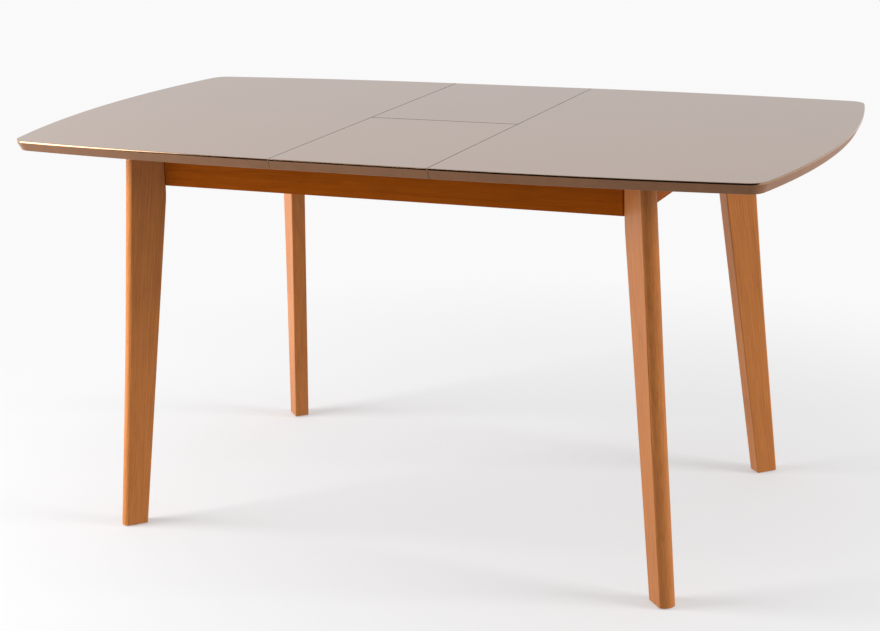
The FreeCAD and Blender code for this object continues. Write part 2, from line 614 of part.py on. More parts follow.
def make_half_top(side, turn, screws):
    """A half top: straight at the seam, bowed along its sides and end, with round corners."""
    body = new_body(f"half_top_{side}")
    sketch = new_sketch(body, "XY_Plane", "plan")
    seam = value(SEAM)
    half_width = value(HALF_WIDTH)
    half_length = value("Sizes.table_length / 2")
    side_radius = value("Sizes.side_bow_radius")
    end_radius = value("Sizes.end_bow_radius")
    side_bow = Part.Circle(FreeCAD.Vector(seam, half_width - side_radius, 0), UP, side_radius)
    end_bow = Part.Circle(FreeCAD.Vector(half_length - end_radius, 0, 0), UP, end_radius)
    corner = next(point for point in side_bow.intersect(end_bow) if point.X > seam and point.Y > 0)
    middle = (seam + corner.X) / 2
    bulge = half_width - side_radius + (side_radius ** 2 - (middle - seam) ** 2) ** 0.5
    seam_low, middle_low, corner_low = (
        FreeCAD.Vector(x, -y, 0) for x, y in ((seam, half_width), (middle, bulge), (corner.X, corner.Y)))
    seam_high, middle_high, corner_high = (
        FreeCAD.Vector(point.x, -point.y, 0) for point in (seam_low, middle_low, corner_low))

    sketch.addGeometry(Part.LineSegment(seam_high, seam_low), False)
    sketch.addGeometry(Part.Arc(seam_low, middle_low, corner_low), False)
    sketch.addGeometry(Part.Arc(corner_low, FreeCAD.Vector(half_length, 0, 0), corner_high), False)
    sketch.addGeometry(Part.Arc(corner_high, middle_high, seam_high), False)
    for edge in range(4):
        join(sketch, edge, 2, (edge + 1) % 4, 1)
    pin_point(sketch, 0, 1, SEAM, HALF_WIDTH)
    pin_point(sketch, 0, 2, SEAM, f"-{HALF_WIDTH}")
    for edge in (1, 3):
        dimension(sketch, "DistanceX", -1, 1, edge, 3, formula=SEAM)
        dimension(sketch, "Radius", edge, formula="Sizes.side_bow_radius")
    pin_point(sketch, 2, 3, "Sizes.table_length / 2 - Sizes.end_bow_radius", "0")
    dimension(sketch, "Radius", 2, formula="Sizes.end_bow_radius")
    pad(body, sketch, "Sizes.top_thickness")

    half_thickness = value("Sizes.top_thickness / 2")
    fillet(body, "Sizes.corner_radius", lambda at, edge:
           near(at.z, half_thickness) and not near(at.x, seam))
    finish_edges(body, lambda at: near(at.x, seam))
    put(body, z=UNDERSIDE, turn=turn)
    part(boolean("Cut", f"top_{side}", body, group(f"top_{side}_screws", screws)), f"top_{side}")


def make_hinge_cups(depth, turn, link_places, slot_places):
    """The cups let into one wing's edge. Links swing in the other wing's slots, about the fold's
    axis, which lies just above the seam."""
    cup_height = "(Sizes.top_thickness - Sizes.cup_cover - Sizes.cup_floor)"
    cup_bottom = f"({UNDERSIDE} + Sizes.cup_floor)"
    cutters = []
    hinges = []
    for side, side_x in SIDES:
        name = f"cup_{depth}_{side}"
        made = put(box(f"{name}_block", "Sizes.cup_length", "Sizes.cup_depth", cup_height),
                   "-Sizes.cup_length / 2", "Sizes.seam_gap / 2", cup_bottom)
        for index, place in enumerate(slot_places):
            width = "(Sizes.link_width + 2 * Sizes.link_clearance)"
            slot = cylinder(f"{name}_slot_{index}", "Sizes.link_radius + Sizes.link_clearance", width)
            put(slot, f"{place} - {width} / 2", z=FOLD_HEIGHT, axis=ACROSS, turn=90)
            made = boolean("Cut", f"{name}_slotted_{index}", made, slot)
        for index, place in enumerate(link_places):
            disc = cylinder(f"{name}_disc_{index}", "Sizes.link_radius", "Sizes.link_width")
            put(disc, f"{place} - Sizes.link_width / 2", z=FOLD_HEIGHT, axis=ACROSS, turn=90)
            below = box(f"{name}_below_{index}", "Sizes.link_width", "2 * Sizes.link_radius",
                        f"{cup_height} + Sizes.cup_floor - Sizes.link_clearance")
            put(below, f"{place} - Sizes.link_width / 2", "-Sizes.link_radius", UNDERSIDE)
            link = boolean("Common", f"{name}_link_{index}", disc, below)
            made = boolean("Fuse", f"{name}_linked_{index}", made, link)
        place = f"{side_x} * Sizes.hinge_place"
        hinges.append(put(group(f"{name}_placed", [made]), place))
        block = put(box(f"{name}_pocket", "Sizes.cup_length", "Sizes.cup_depth", cup_height),
                    f"{place} - Sizes.cup_length / 2", "Sizes.seam_gap / 2", cup_bottom)
        cutters.append(block)
    part(put(group(f"hinge_cups_{depth}", hinges), turn=turn), f"hinge_cups_{depth}")
    return put(group(f"hinge_pockets_{depth}", cutters), turn=turn)


def make_leaf_wing(depth, turn, cutters):
    """Half of the leaf: its inner edge is at the fold, its outer edge continues the table's."""
    body = new_body(f"wing_{depth}")
    sketch = new_sketch(body, "XY_Plane", "plan")
    rectangle(sketch, f"-{HALF_LEAF}", HALF_LEAF, "Sizes.seam_gap / 2", HALF_WIDTH)
    pad(body, sketch, "Sizes.top_thickness")
    outer = value(f"{HALF_WIDTH} - Sizes.edge_undercut - Sizes.lower_arris - 1")
    finish_edges(body, lambda at: at.y < outer)
    put(body, z=UNDERSIDE, turn=turn)
    part(boolean("Cut", f"leaf_{depth}", body, group(f"leaf_{depth}_cutters", cutters)),
         f"leaf_{depth}")


# ---------------------------------------------------------------- swing fitting

def axle(name, radius, side_x, near_face, far_face, y, z):
    """A cylinder along X between two distances from the middle of the table."""
    length = f"({far_face} - {near_face})"
    made = cylinder(name, radius, length)
    low = f"{side_x} * ({near_face} + {far_face}) / 2 - {length} / 2"
    return put(made, low, y, z, axis=ACROSS, turn=90)


def headed_pin(name, side_x, head_face, far_face, y, z):
    """A pin with a round head on the side towards the middle of the table."""
    shank = axle(f"{name}_shank", "Sizes.pin_radius", side_x, head_face, far_face, y, z)
    head_end = f"({head_face} - Sizes.pin_head_length)"
    head = axle(f"{name}_head", "Sizes.pin_head_radius", side_x, head_end, head_face, y, z)
    return boolean("Fuse", name, shank, head)


def make_arm(name, side_x, pivot, leaf_bore):
    """A flat steel arm with round ends, from its pivot on the frame to its pin on the leaf."""
    body = new_body(name)
    sketch = new_sketch(body, "YZ_Plane", "profile")
    length = value(ARM_LENGTH)
    radius = value("Sizes.arm_end_radius")
    low_start = FreeCAD.Vector(0, -radius, 0)
    low_end = FreeCAD.Vector(length, -radius, 0)
    high_end = FreeCAD.Vector(length, radius, 0)
    high_start = FreeCAD.Vector(0, radius, 0)
    tip = FreeCAD.Vector(length + radius, 0, 0)
    tail = FreeCAD.Vector(-radius, 0, 0)
    sketch.addGeometry(Part.LineSegment(low_start, low_end), False)
    sketch.addGeometry(Part.Arc(low_end, tip, high_end), False)
    sketch.addGeometry(Part.LineSegment(high_end, high_start), False)
    sketch.addGeometry(Part.Arc(high_start, tail, low_start), False)
    for edge in range(4):
        join(sketch, edge, 2, (edge + 1) % 4, 1)
    pin_point(sketch, 0, 1, "0", "-Sizes.arm_end_radius")
    pin_point(sketch, 0, 2, ARM_LENGTH, "-Sizes.arm_end_radius")
    pin_point(sketch, 2, 1, ARM_LENGTH, "Sizes.arm_end_radius")
    pin_point(sketch, 2, 2, "0", "Sizes.arm_end_radius")
    dimension(sketch, "DistanceX", -1, 1, 1, 3, formula=ARM_LENGTH)
    dimension(sketch, "DistanceX", -1, 1, 3, 3, formula="0")
    circle(sketch, "0", "0", "Sizes.pin_radius + Sizes.running_clearance")
    circle(sketch, ARM_LENGTH, "0", leaf_bore)
    pad(body, sketch, "Sizes.arm_thickness", symmetric=True)
    put(body, f"{side_x} * ({ARM_FACE} - Sizes.arm_thickness / 2)", pivot, PIVOT_HEIGHT, axis=ALONG,
        turn=value(ARM_START))
    body.setExpression("Placement.Rotation.Angle", f"{ARM_START} * 1 deg")
    part(body, name)


def make_cross_rail(side, side_x, screws):
    """A wooden rail from apron to apron that carries one side of the swing fitting."""
    body = new_body(f"cross_rail_{side}_board")
    sketch = new_sketch(body, "XZ_Plane", "section")
    half = "(Sizes.cross_rail_width / 2)"
    rectangle(sketch, f"-{half}", half, "0", "Sizes.cross_rail_height")
    pad(body, sketch, f"2 * {INNER_WIDTH}", symmetric=True)
    fillet(body, "Sizes.cross_rail_arris_radius", lambda at, edge: near(at.z, 0) and near(at.y, 0))
    put(body, f"{side_x} * (Sizes.cross_rail_place + {half})", z=APRON_BOTTOM)
    name = f"cross_rail_{side}"
    part(boolean("Cut", name, body, group(f"{name}_screws", screws)), name)


def make_base_plate(side, side_x, screws):
    """The steel plate on a cross rail that holds the pivots of a front and a rear arm."""
    body = new_body(f"swing_base_{side}_plate")
    sketch = new_sketch(body, "YZ_Plane", "profile")
    half = "(Sizes.base_height / 2)"
    rectangle(sketch, "-Sizes.base_margin", f"{ARM_PITCH} + Sizes.base_margin", f"-{half}", half)
    circle(sketch, "0", "0", "Sizes.pin_radius")
    circle(sketch, ARM_PITCH, "0", "Sizes.pin_radius")
    pad(body, sketch, "Sizes.base_thickness", symmetric=True)
    round_up = value(half)
    fillet(body, "Sizes.base_corner", lambda at, edge: near(at.x, 0) and near(abs(at.z), round_up))
    put(body, f"{side_x} * ({BASE_FACE} + Sizes.base_thickness / 2)", FRONT_PIVOT, PIVOT_HEIGHT)
    name = f"swing_base_{side}"
    part(boolean("Cut", name, body, group(f"{name}_screws", screws)), name)


def make_leaf_bracket(side, side_x, screws):
    """A steel flange under the back wing with two ears turned down for the leaf pins."""
    body = new_body(f"leaf_bracket_{side}_plate")
    flange = new_sketch(body, "XY_Plane", "flange", "-Sizes.bracket_thickness")
    edge = f"{side_x} * {LUG_FACE}"
    far_edge = f"{side_x} * ({LUG_FACE} - Sizes.bracket_width)"
    rectangle(flange, far_edge, edge, f"{FRONT_PIN} - Sizes.bracket_margin",
              f"{REAR_PIN} + Sizes.bracket_margin")
    pad(body, flange, "Sizes.bracket_thickness")
    ears = new_sketch(body, "YZ_Plane", "ears",
                      f"{side_x} * ({LUG_FACE} - Sizes.bracket_thickness / 2)")
    for place in (FRONT_PIN, REAR_PIN):
        first = ears.GeometryCount
        middle = value(place)
        drop = value("Sizes.pin_drop")
        radius = value("Sizes.lug_radius")
        corners = [FreeCAD.Vector(middle + x, z, 0) for x, z in
                   ((-radius, 0), (-radius, -drop), (0, -drop - radius), (radius, -drop), (radius, 0))]
        ears.addGeometry(Part.LineSegment(corners[0], corners[1]), False)
        ears.addGeometry(Part.Arc(corners[1], corners[2], corners[3]), False)
        ears.addGeometry(Part.LineSegment(corners[3], corners[4]), False)
        ears.addGeometry(Part.LineSegment(corners[4], corners[0]), False)
        for step in range(4):
            join(ears, first + step, 2, first + (step + 1) % 4, 1)
        pin_point(ears, first, 1, f"{place} - Sizes.lug_radius", "0")
        pin_point(ears, first, 2, f"{place} - Sizes.lug_radius", "-Sizes.pin_drop")
        pin_point(ears, first + 2, 1, f"{place} + Sizes.lug_radius", "-Sizes.pin_drop")
        pin_point(ears, first + 2, 2, f"{place} + Sizes.lug_radius", "0")
        dimension(ears, "DistanceY", -1, 1, first + 1, 3, formula="-Sizes.pin_drop")
        circle(ears, place, "-Sizes.pin_drop", "Sizes.pin_radius")
    pad(body, ears, "Sizes.bracket_thickness", symmetric=True)
    put(body, z=UNDERSIDE)
    name = f"leaf_bracket_{side}"
    part(boolean("Cut", name, body, group(f"{name}_screws", screws)), name)


def make_swing_fitting():
    """Cross rails, base plates, arms, pins and brackets. Returns the screws in the back wing."""
    pivots = []
    leaf_pins = []
    base_screws = []
    bracket_screws = []
    close_bore = "Sizes.pin_radius + Sizes.running_clearance"
    open_bore = "Sizes.pin_radius + Sizes.open_clearance"
    pin_face = f"({LUG_FACE} - Sizes.bracket_thickness)"
    rail_middle = f"({APRON_BOTTOM} + Sizes.cross_rail_height / 2)"
    for side, side_x in SIDES:
        rows = []
        for index, share in enumerate(("1 / 4", "1 / 2", "3 / 4")):
            rows.append(screw(f"base_screw_{side}_{index}", "Sizes.base_screw_length",
                              f"{side_x} * {BASE_FACE}", f"{FRONT_PIVOT} + {ARM_PITCH} * {share}",
                              rail_middle, axis=ACROSS, turn=-90 * side_x))
        base_screws += rows
        make_cross_rail(side, side_x, rows)
        make_base_plate(side, side_x, rows)
        rows = []
        for index, share in enumerate(("1 / 6", "1 / 2", "5 / 6")):
            rows.append(screw(f"bracket_screw_{side}_{index}", "Sizes.bracket_screw_length",
                              f"{side_x} * ({LUG_FACE} - Sizes.bracket_width * 3 / 5)",
                              f"{FRONT_PIN} + {ARM_PITCH} * {share}",
                              f"{UNDERSIDE} - Sizes.bracket_thickness", turn=180))
        bracket_screws += rows
        make_leaf_bracket(side, side_x, rows)
        for row, pivot, pin, bore in (("front", FRONT_PIVOT, FRONT_PIN, close_bore),
                                      ("rear", REAR_PIVOT, REAR_PIN, open_bore)):
            make_arm(f"swing_arm_{row}_{side}", side_x, pivot, bore)
            pivots.append(headed_pin(f"pivot_{row}_{side}", side_x, LUG_FACE,
                                     "Sizes.cross_rail_place", pivot, PIVOT_HEIGHT))
            leaf_pins.append(headed_pin(f"pin_{row}_{side}", side_x, pin_face, ARM_FACE, pin,
                                        PIN_HEIGHT))
    part(group("arm_pivots", pivots), "arm_pivots")
    part(group("leaf_pins", leaf_pins), "leaf_pins")
    part(group("base_screws", base_screws), "base_screws")
    part(group("bracket_screws", bracket_screws), "bracket_screws")
    return bracket_screws


# ---------------------------------------------------------------- the whole table

def make_table():
    bolts = make_leg_fasteners()
    for corner, side_x, side_y, turn in CORNERS:
        make_leg(f"leg_{corner}", side_x, side_y, turn, bolts)
        make_corner_block(f"corner_block_{corner}", side_x, side_y, turn, bolts)
    inner_length = f"(2 * {INNER_LENGTH})"
    inner_width = f"(2 * {INNER_WIDTH})"
    make_apron("apron_back", FRAME_WIDTH, inner_length, 0, bolts)
    make_apron("apron_front", FRAME_WIDTH, inner_length, 180, bolts)
    make_apron("apron_left", FRAME_LENGTH, inner_width, 90, bolts)
    make_apron("apron_right", FRAME_LENGTH, inner_width, -90, bolts)
    make_glides()
    make_felt_pads()

    liners = []
    for side, side_x in SIDES:
        screws = []
        for depth, side_y in DEPTHS:
            liners += make_slide(depth, side_y, side, side_x)
            make_runner(f"runner_{side}_{depth}", side_x, side_y, screws)
        part(group(f"runner_screws_{side}", screws), f"runner_screws_{side}")
        make_half_top(side, 0 if side_x > 0 else 180, screws)
    part(group("slide_liners", liners), "slide_liners")

    bracket_screws = make_swing_fitting()
    outer_links = ("-Sizes.link_pitch", "Sizes.link_pitch")
    back_pockets = make_hinge_cups("back", 0, outer_links, ("0",))
    front_pockets = make_hinge_cups("front", 180, ("0",), outer_links)
    make_leaf_wing("back", 0, [back_pockets] + bracket_screws)
    make_leaf_wing("front", 180, [front_pockets])


def check_and_export():
    """Stop on any failed object or unsound sub-part, then write one STEP file for each."""
    DOC.recompute()
    failed = [item.Name for item in DOC.Objects if {"Invalid", "Error"} & set(item.State)]
    if failed:
        raise RuntimeError(f"failed objects: {failed}")
    for piece in PARTS:
        if piece.Shape.isNull() or not piece.Shape.isValid() or not piece.Shape.Solids:
            raise RuntimeError(f"{piece.Label} has no sound shape")
    os.makedirs("parts", exist_ok=True)
    for piece in PARTS:
        piece.Shape.exportStep(f"parts/{piece.Label}.step")
        print(f"{piece.Label}: {len(piece.Shape.Solids)} solids, {piece.Shape.Volume / 1000:.1f} cm3")


make_table()
check_and_export()
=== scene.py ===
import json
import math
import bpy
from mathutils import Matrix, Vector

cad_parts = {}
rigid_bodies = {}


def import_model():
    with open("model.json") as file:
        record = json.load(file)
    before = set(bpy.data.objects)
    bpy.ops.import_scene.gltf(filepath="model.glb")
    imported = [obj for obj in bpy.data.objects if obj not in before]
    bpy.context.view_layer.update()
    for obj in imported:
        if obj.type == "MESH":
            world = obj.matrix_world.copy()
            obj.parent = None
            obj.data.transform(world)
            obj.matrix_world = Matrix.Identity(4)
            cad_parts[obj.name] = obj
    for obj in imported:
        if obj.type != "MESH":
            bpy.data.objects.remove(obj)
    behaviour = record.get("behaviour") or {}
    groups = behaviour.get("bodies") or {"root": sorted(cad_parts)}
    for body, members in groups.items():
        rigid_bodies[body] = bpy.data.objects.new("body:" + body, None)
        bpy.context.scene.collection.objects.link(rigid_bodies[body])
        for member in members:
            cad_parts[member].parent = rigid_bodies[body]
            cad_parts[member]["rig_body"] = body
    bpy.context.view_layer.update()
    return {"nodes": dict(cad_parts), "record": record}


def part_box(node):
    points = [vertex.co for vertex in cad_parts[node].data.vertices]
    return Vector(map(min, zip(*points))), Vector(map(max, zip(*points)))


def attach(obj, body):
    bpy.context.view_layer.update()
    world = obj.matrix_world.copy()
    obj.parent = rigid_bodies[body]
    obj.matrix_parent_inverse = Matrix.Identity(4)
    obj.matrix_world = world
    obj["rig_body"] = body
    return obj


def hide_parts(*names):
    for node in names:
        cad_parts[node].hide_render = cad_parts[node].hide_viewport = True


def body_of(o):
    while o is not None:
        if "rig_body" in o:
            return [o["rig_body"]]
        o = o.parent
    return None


bl_info = {
    "name": "Butterfly Leaf Table",
    "version": (1, 0, 0),
    "blender": (4, 5, 0),
    "location": "3D View > Sidebar > Table",
    "description": "Dresses an extending dining table with a folding leaf on its CAD frame",
    "category": "Object",
}

import bmesh
import bpy
from bpy.props import FloatProperty, FloatVectorProperty, PointerProperty
from mathutils import Matrix, Vector

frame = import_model()

# Metres. The origin is on the floor under the middle of the top: +X runs along the table,
# -Y is its front and +Z is up. The places below come from the frame's own boxes.

HALF_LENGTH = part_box("top_right")[1].x
HALF_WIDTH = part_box("leaf_back")[1].y
TOP_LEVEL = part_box("leaf_back")[1].z
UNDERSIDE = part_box("leaf_back")[0].z
HALF_TOP_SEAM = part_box("top_right")[0].x
LEAF_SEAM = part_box("leaf_back")[1].x
WING_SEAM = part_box("leaf_back")[0].y

APRON_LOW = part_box("apron_front")[0].z
APRON_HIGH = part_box("apron_front")[1].z
SEAT = Vector((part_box("apron_front")[1].x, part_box("apron_right")[1].y, 0.0))
INSIDE = Vector((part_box("apron_right")[0].x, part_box("apron_back")[0].y, 0.0))
OUTSIDE = Vector((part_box("apron_right")[1].x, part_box("apron_back")[1].y, 0.0))
FOOT_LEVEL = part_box("foot_glides")[1].z

SLOTS = {row["node"]: row["material_slot"] for row in frame["record"]["subparts"]}

# A sharper change of direction than this is an edge to see, and a softer one is a curve.
CREASE = math.radians(32)

# Points closer together than this are one point, and closer to a cut than this they lie in it.
TOUCH = 1e-5
IN_CUT = 1e-7

# How many straight steps a curve is drawn in, and the steps in half of a leg's crown.
BOW_STEPS = 28
CORNER_STEPS = 18
KNEE_STEPS = 12
BEND_STEPS = 6
CROWN_STEPS = 6

# The corners of the CAD's loose triangles are joined within this reach, and its faces are made
# one where they are flat within this angle.
WELD_REACH = 0.000002
FLAT_WITHIN = math.radians(0.5)

# The materials of the top's pieces, in the order of their slots. The last is painted shade on the
# rounded arrises along the seams.
LACQUER, STRIP, EDGE_FACE, SEAM_PAINTED_SHADE = range(4)

# The top's faces are told apart by the Z of their normals: a face is upright below the first
# and level above the second, and the lacquer and the strip each end where it falls further.
UPRIGHT = 0.1
LEVEL = 0.9
LACQUER_END = 0.6
STRIP_END = -0.05

# The turns that lay a board's grain along X and along Y.
ALONG_X = (0.0, math.pi / 2, 0.0)
ALONG_Y = (0.0, -math.pi / 2, -math.pi / 2)

# Each leg and apron is cut from its own stretch of timber, this far on from the last one's. The
# long aprons' stretches start a little further on than the short ones'.
LEG_STRETCH = 1.7
APRON_STRETCH = 2.3
LONG_APRON_START = 0.6

# The width of a growth ring of the beech, and how far behind the board its rings are centred.
RING_WIDTH = 0.0042
PITH_DEPTH = 0.055

# How bright the floor and the surround are where they are seen, which is just short of white.
PAPER_WHITE = 0.95

# The lamps are turned to this place, below the middle of the top.
LIT_MIDDLE = Vector((0.0, 0.0, 0.5))


# ---------------------------------------------------------------- sizes and colours


def length(name, description, default):
    return FloatProperty(
        name=name, description=description, default=default, min=0.0, precision=4, unit="LENGTH"
    )


def colour(name, description, default):
    return FloatVectorProperty(
        name=name, description=description, default=default, size=3, min=0.0, max=1.0,
        subtype="COLOR",
    )


def power(name, description, default):
    return FloatProperty(
        name=name, description=description, default=default, min=0.0, unit="POWER"
    )


def amount(name, description, default):
    return FloatProperty(name=name, description=description, default=default, min=0.0)


class TableTopSizes(bpy.types.PropertyGroup):
    side_bow: length("Side bow", "Radius of the long edges beyond the leaf", 5.2)
    end_bow: length("End bow", "Radius of the end edges", 1.5)
    corner: length("Corner", "Radius of the corners in plan", 0.034)
    strip: length("Edge strip", "Upright strip below the upper arris", 0.0045)
    undercut: length("Undercut", "How far the edge leans in below the strip", 0.0080)
    arris: length("Arris", "Rounding of the upper and lower arrises and of the seams", 0.0012)
    strip_arris: length("Strip arris", "Rounding between the strip and the undercut", 0.0010)
    seam_gap: length("Seam gap", "Gap between the leaf and each half top", 0.0001)
    hinge_cup: length("Hinge cup", "Length of each concealed hinge cup", 0.060)


class TableLegSizes(bpy.types.PropertyGroup):
    thickness: length("Thickness", "The board that the legs are cut from", 0.030)
    top_width: length("Top width", "Width of the board at its top", 0.0654)
    foot_width: length("Foot width", "Width of the board at the floor", 0.0468)
    foot_reach: length("Foot reach", "Seat to the foot's outer edge in plan", 0.1325)
    knee_drop: length("Knee drop", "Top of the leg to its knee", 0.087)
    knee: length("Knee", "Radius that softens the knee", 0.26)
    bend_drop: length("Bend drop", "Top of the leg to the slow bend of its outer edge", 0.258)
    bend_length: length("Bend length", "Height of that bend", 0.21)
    bend: length("Bend", "Radius of that bend", 14.0)
    crown: length("Crown", "Rise of the outer edge's arc across the board", 0.0066)
    outer_arris: length("Outer arris", "Rounding of the arrises beside the crown", 0.0012)
    arris: length("Arris", "Rounding of the inner arrises", 0.0025)
    end_arris: length("End arris", "Rounding round the foot and the top", 0.0007)


class TableFrameSizes(bpy.types.PropertyGroup):
    lower_arris: length("Lower arris", "Rounding of an apron's lower outer arris", 0.0015)
    arris: length("Arris", "Rounding of the other wooden arrises", 0.0006)
    steel_arris: length("Steel arris", "Rounding of the edges of the fittings and pads", 0.0003)


class TableFinishes(bpy.types.PropertyGroup):
    lacquer: colour("Lacquer", "Taupe gloss lacquer of the top", (0.45, 0.317, 0.248))
    edge_strip: colour("Edge strip", "Polished bronze-toned strip round the top", (0.42, 0.26, 0.16))
    edge_face: colour("Edge face", "Satin paint of the undercut edge", (0.285, 0.137, 0.068))
    # Painted shade: a near-black that stands in for the shadow in the seams between the pieces of the
    # top.
    seam_painted_shade: colour("Seam edge", "Dark paint of the arrises along the seams", (0.022, 0.011, 0.006))
    stain_light: colour("Stain, light", "Early wood under the red-brown stain", (0.54, 0.188, 0.040))
    stain_dark: colour("Stain, dark", "Late wood and pores under the stain", (0.20, 0.050, 0.008))
    frame_light: colour("Frame, light", "Early wood of the frame boards", (0.44, 0.104, 0.006))
    frame_dark: colour("Frame, dark", "Late wood and pores of the frame boards", (0.16, 0.026, 0.001))
    plain_light: colour("Beech, light", "Unstained beech", (0.68, 0.46, 0.29))
    plain_dark: colour("Beech, dark", "Growth rings of the unstained beech", (0.44, 0.25, 0.13))
    steel: colour("Zinc steel", "Slides, screws, bolts and washers", (0.60, 0.61, 0.63))
    hinge: colour("Zinc casting", "Concealed hinges", (0.50, 0.48, 0.45))
    coating: colour("Black coating", "Swing fitting", (0.018, 0.018, 0.020))
    nylon: colour("Nylon", "Liners of the slides", (0.78, 0.77, 0.72))
    felt: colour("Felt", "Pads and glides", (0.10, 0.085, 0.075))
    floor: colour("Floor", "Floor of the studio", (0.81, 0.81, 0.82))


class TableStudio(bpy.types.PropertyGroup):
    left_power: power("Left lamp", "Soft lamp at the front left", 162.0)
    right_power: power("Right lamp", "Soft lamp at the right", 690.0)
    surround: amount("Surround", "Walls at the back and sides in reflections", 0.60)
    ambient: amount("Ambient", "Light from all round, weaker at the front", 0.30)
    overhead: amount("Overhead", "Further light from above", 0.46)


# ---------------------------------------------------------------- shader expressions


class Value:
    """A node's output as a term in an expression. Each operator adds one Math node."""

    def __init__(self, graph, output):
        self.graph = graph
        self.output = output

    def math(self, operation, *terms):
        """A Math node of this term and, where the operation has more, of the others."""
        inputs = dict(enumerate((self, *terms)))
        return self.graph.add("ShaderNodeMath", {"operation": operation}, inputs)

    def __add__(self, term):
        return self.math("ADD", term)

    __radd__ = __add__

    def __mul__(self, term):
        return self.math("MULTIPLY", term)

    __rmul__ = __mul__

    def __sub__(self, term):
        return self.math("SUBTRACT", term)

    def __rsub__(self, term):
        return self.graph.add("ShaderNodeMath", {"operation": "SUBTRACT"}, {0: term, 1: self})

    def __pow__(self, exponent):
        return self.math("POWER", exponent)

    def between(self, low, high):
        """0 up to low and 1 from high on, with a smooth step between them."""
        settings = {"interpolation_type": "SMOOTHSTEP"}
        inputs = {"Value": self, "From Min": low, "From Max": high}
        return self.graph.add("ShaderNodeMapRange", settings, inputs)


class Graph:
    """The node tree of one material or world."""

    def __init__(self, owner):
        owner.use_nodes = True
        self.tree = owner.node_tree
        self.tree.nodes.clear()

    def node(self, kind, settings=None, inputs=None):
        """One node: its type, then its settings, then the values or links of its sockets."""
        node = self.tree.nodes.new(kind)
        for name, setting in (settings or {}).items():
            setattr(node, name, setting)
        for name, term in (inputs or {}).items():
            if isinstance(term, Value):
                self.tree.links.new(term.output, node.inputs[name])
            else:
                node.inputs[name].default_value = term
        return node

    def add(self, kind, settings=None, inputs=None, output=0):
        """One node, as the value of one of its outputs."""
        return Value(self, self.node(kind, settings, inputs).outputs[output])

    def split(self, vector):
        """The X, Y and Z of a vector."""
        outputs = self.node("ShaderNodeSeparateXYZ", None, {"Vector": vector}).outputs
        return [Value(self, output) for output in outputs]

    def mix(self, factor, first, second):
        """A colour between two colours, which are inputs 6 and 7 and output 2 of a Mix node."""
        inputs = {0: factor, 6: (*first, 1.0), 7: (*second, 1.0)}
        return self.add("ShaderNodeMix", {"data_type": "RGBA"}, inputs, 2)

    def place(self):
        """The place on the piece, in the frame's metres."""
        return self.add("ShaderNodeTexCoord", output="Object")

    def drawn_out(self, place, along):
        """The place with its Z pressed together, so that a pattern there is long along Z."""
        settings = {"operation": "MULTIPLY"}
        return self.add("ShaderNodeVectorMath", settings, {0: place, 1: (1.0, 1.0, along)})

    def noise(self, place, scale, detail=2.0, roughness=0.5):
        """Clouds from 0 to 1, about scale of them to the metre."""
        inputs = {"Vector": place, "Scale": scale, "Detail": detail, "Roughness": roughness}
        return self.add("ShaderNodeTexNoise", None, inputs, "Fac")

    def bump(self, height, distance):
        """The normal of a surface whose relief is as deep as distance."""
        return self.add("ShaderNodeBump", None, {"Height": height, "Distance": distance}, "Normal")


def new_material(name, shader_inputs):
    """A material whose shader takes what shader_inputs makes in its node graph."""
    material = bpy.data.materials.new(name)
    graph = Graph(material)
    shader = graph.add("ShaderNodeBsdfPrincipled", None, shader_inputs(graph), "BSDF")
    graph.node("ShaderNodeOutputMaterial", None, {"Surface": shader})
    return material


def shades(tint, dark, light):
    """A darker and a lighter shade of one colour."""
    return tuple(Vector(tint) * dark), tuple(Vector(tint) * light)


# ---------------------------------------------------------------- finishes


def beech(name, light, dark, at, turn, roughness=0.42, gloss=0.5):
    """Beech with its grain along a board's own Z: growth rings, fibres and short ray flecks.

    The board's own axes start at the place given by at, with the turn given by turn.
    """

    def inputs(graph):
        board = {"Vector": graph.place(), "Location": at, "Rotation": turn}
        place = graph.add("ShaderNodeMapping", {"vector_type": "TEXTURE"}, board)
        across, depth, _ = graph.split(place)

        # The rings stand round a pith outside the board, and wander along the grain. Each
        # darkens slowly towards its end, and the next one starts light.
        wander = graph.noise(graph.drawn_out(place, 0.16), 9.0, 1.0) - 0.5
        drift = graph.noise(graph.drawn_out(place, 0.05), 60.0, 2.0) - 0.5
        pith_x = across + wander * 0.060
        pith_y = depth + drift * 0.012 + PITH_DEPTH
        from_pith = (pith_x * pith_x + pith_y * pith_y) ** 0.5
        ring = (from_pith * (1 / RING_WIDTH)).math("FRACT")
        late_wood = ring * ring * ring * (1 - ring.between(0.94, 1.0))

        fibres = graph.noise(graph.drawn_out(place, 0.018), 900.0, 3.0, 0.62)
        streaks = graph.noise(graph.drawn_out(place, 0.03), 160.0, 2.0)
        blotches = graph.noise(graph.drawn_out(place, 0.4), 14.0, 3.0)

        # The rays show as short dark dashes along the grain, one in the middle of each cell.
        cells = {"Vector": graph.drawn_out(place, 0.10), "Scale": 520.0}
        ray = graph.add("ShaderNodeTexVoronoi", None, cells, "Distance")
        fleck = 1 - ray.between(0.10, 0.26)

        tone = (
            0.34 * fibres.between(0.32, 0.70)
            + 0.10 * streaks.between(0.3, 0.7)
            + 0.16 * late_wood
            + 0.22 * fleck
            + 0.30 * (blotches - 0.5)
        )
        height = 0.6 * fibres - 0.6 * fleck - 0.3 * late_wood
        return {
            "Base Color": graph.mix(tone, light, dark),
            "Roughness": 0.10 * fibres + 0.05 * blotches + roughness,
            "Specular IOR Level": gloss,
            "Normal": graph.bump(height, 0.00006),
        }

    return new_material(name, inputs)


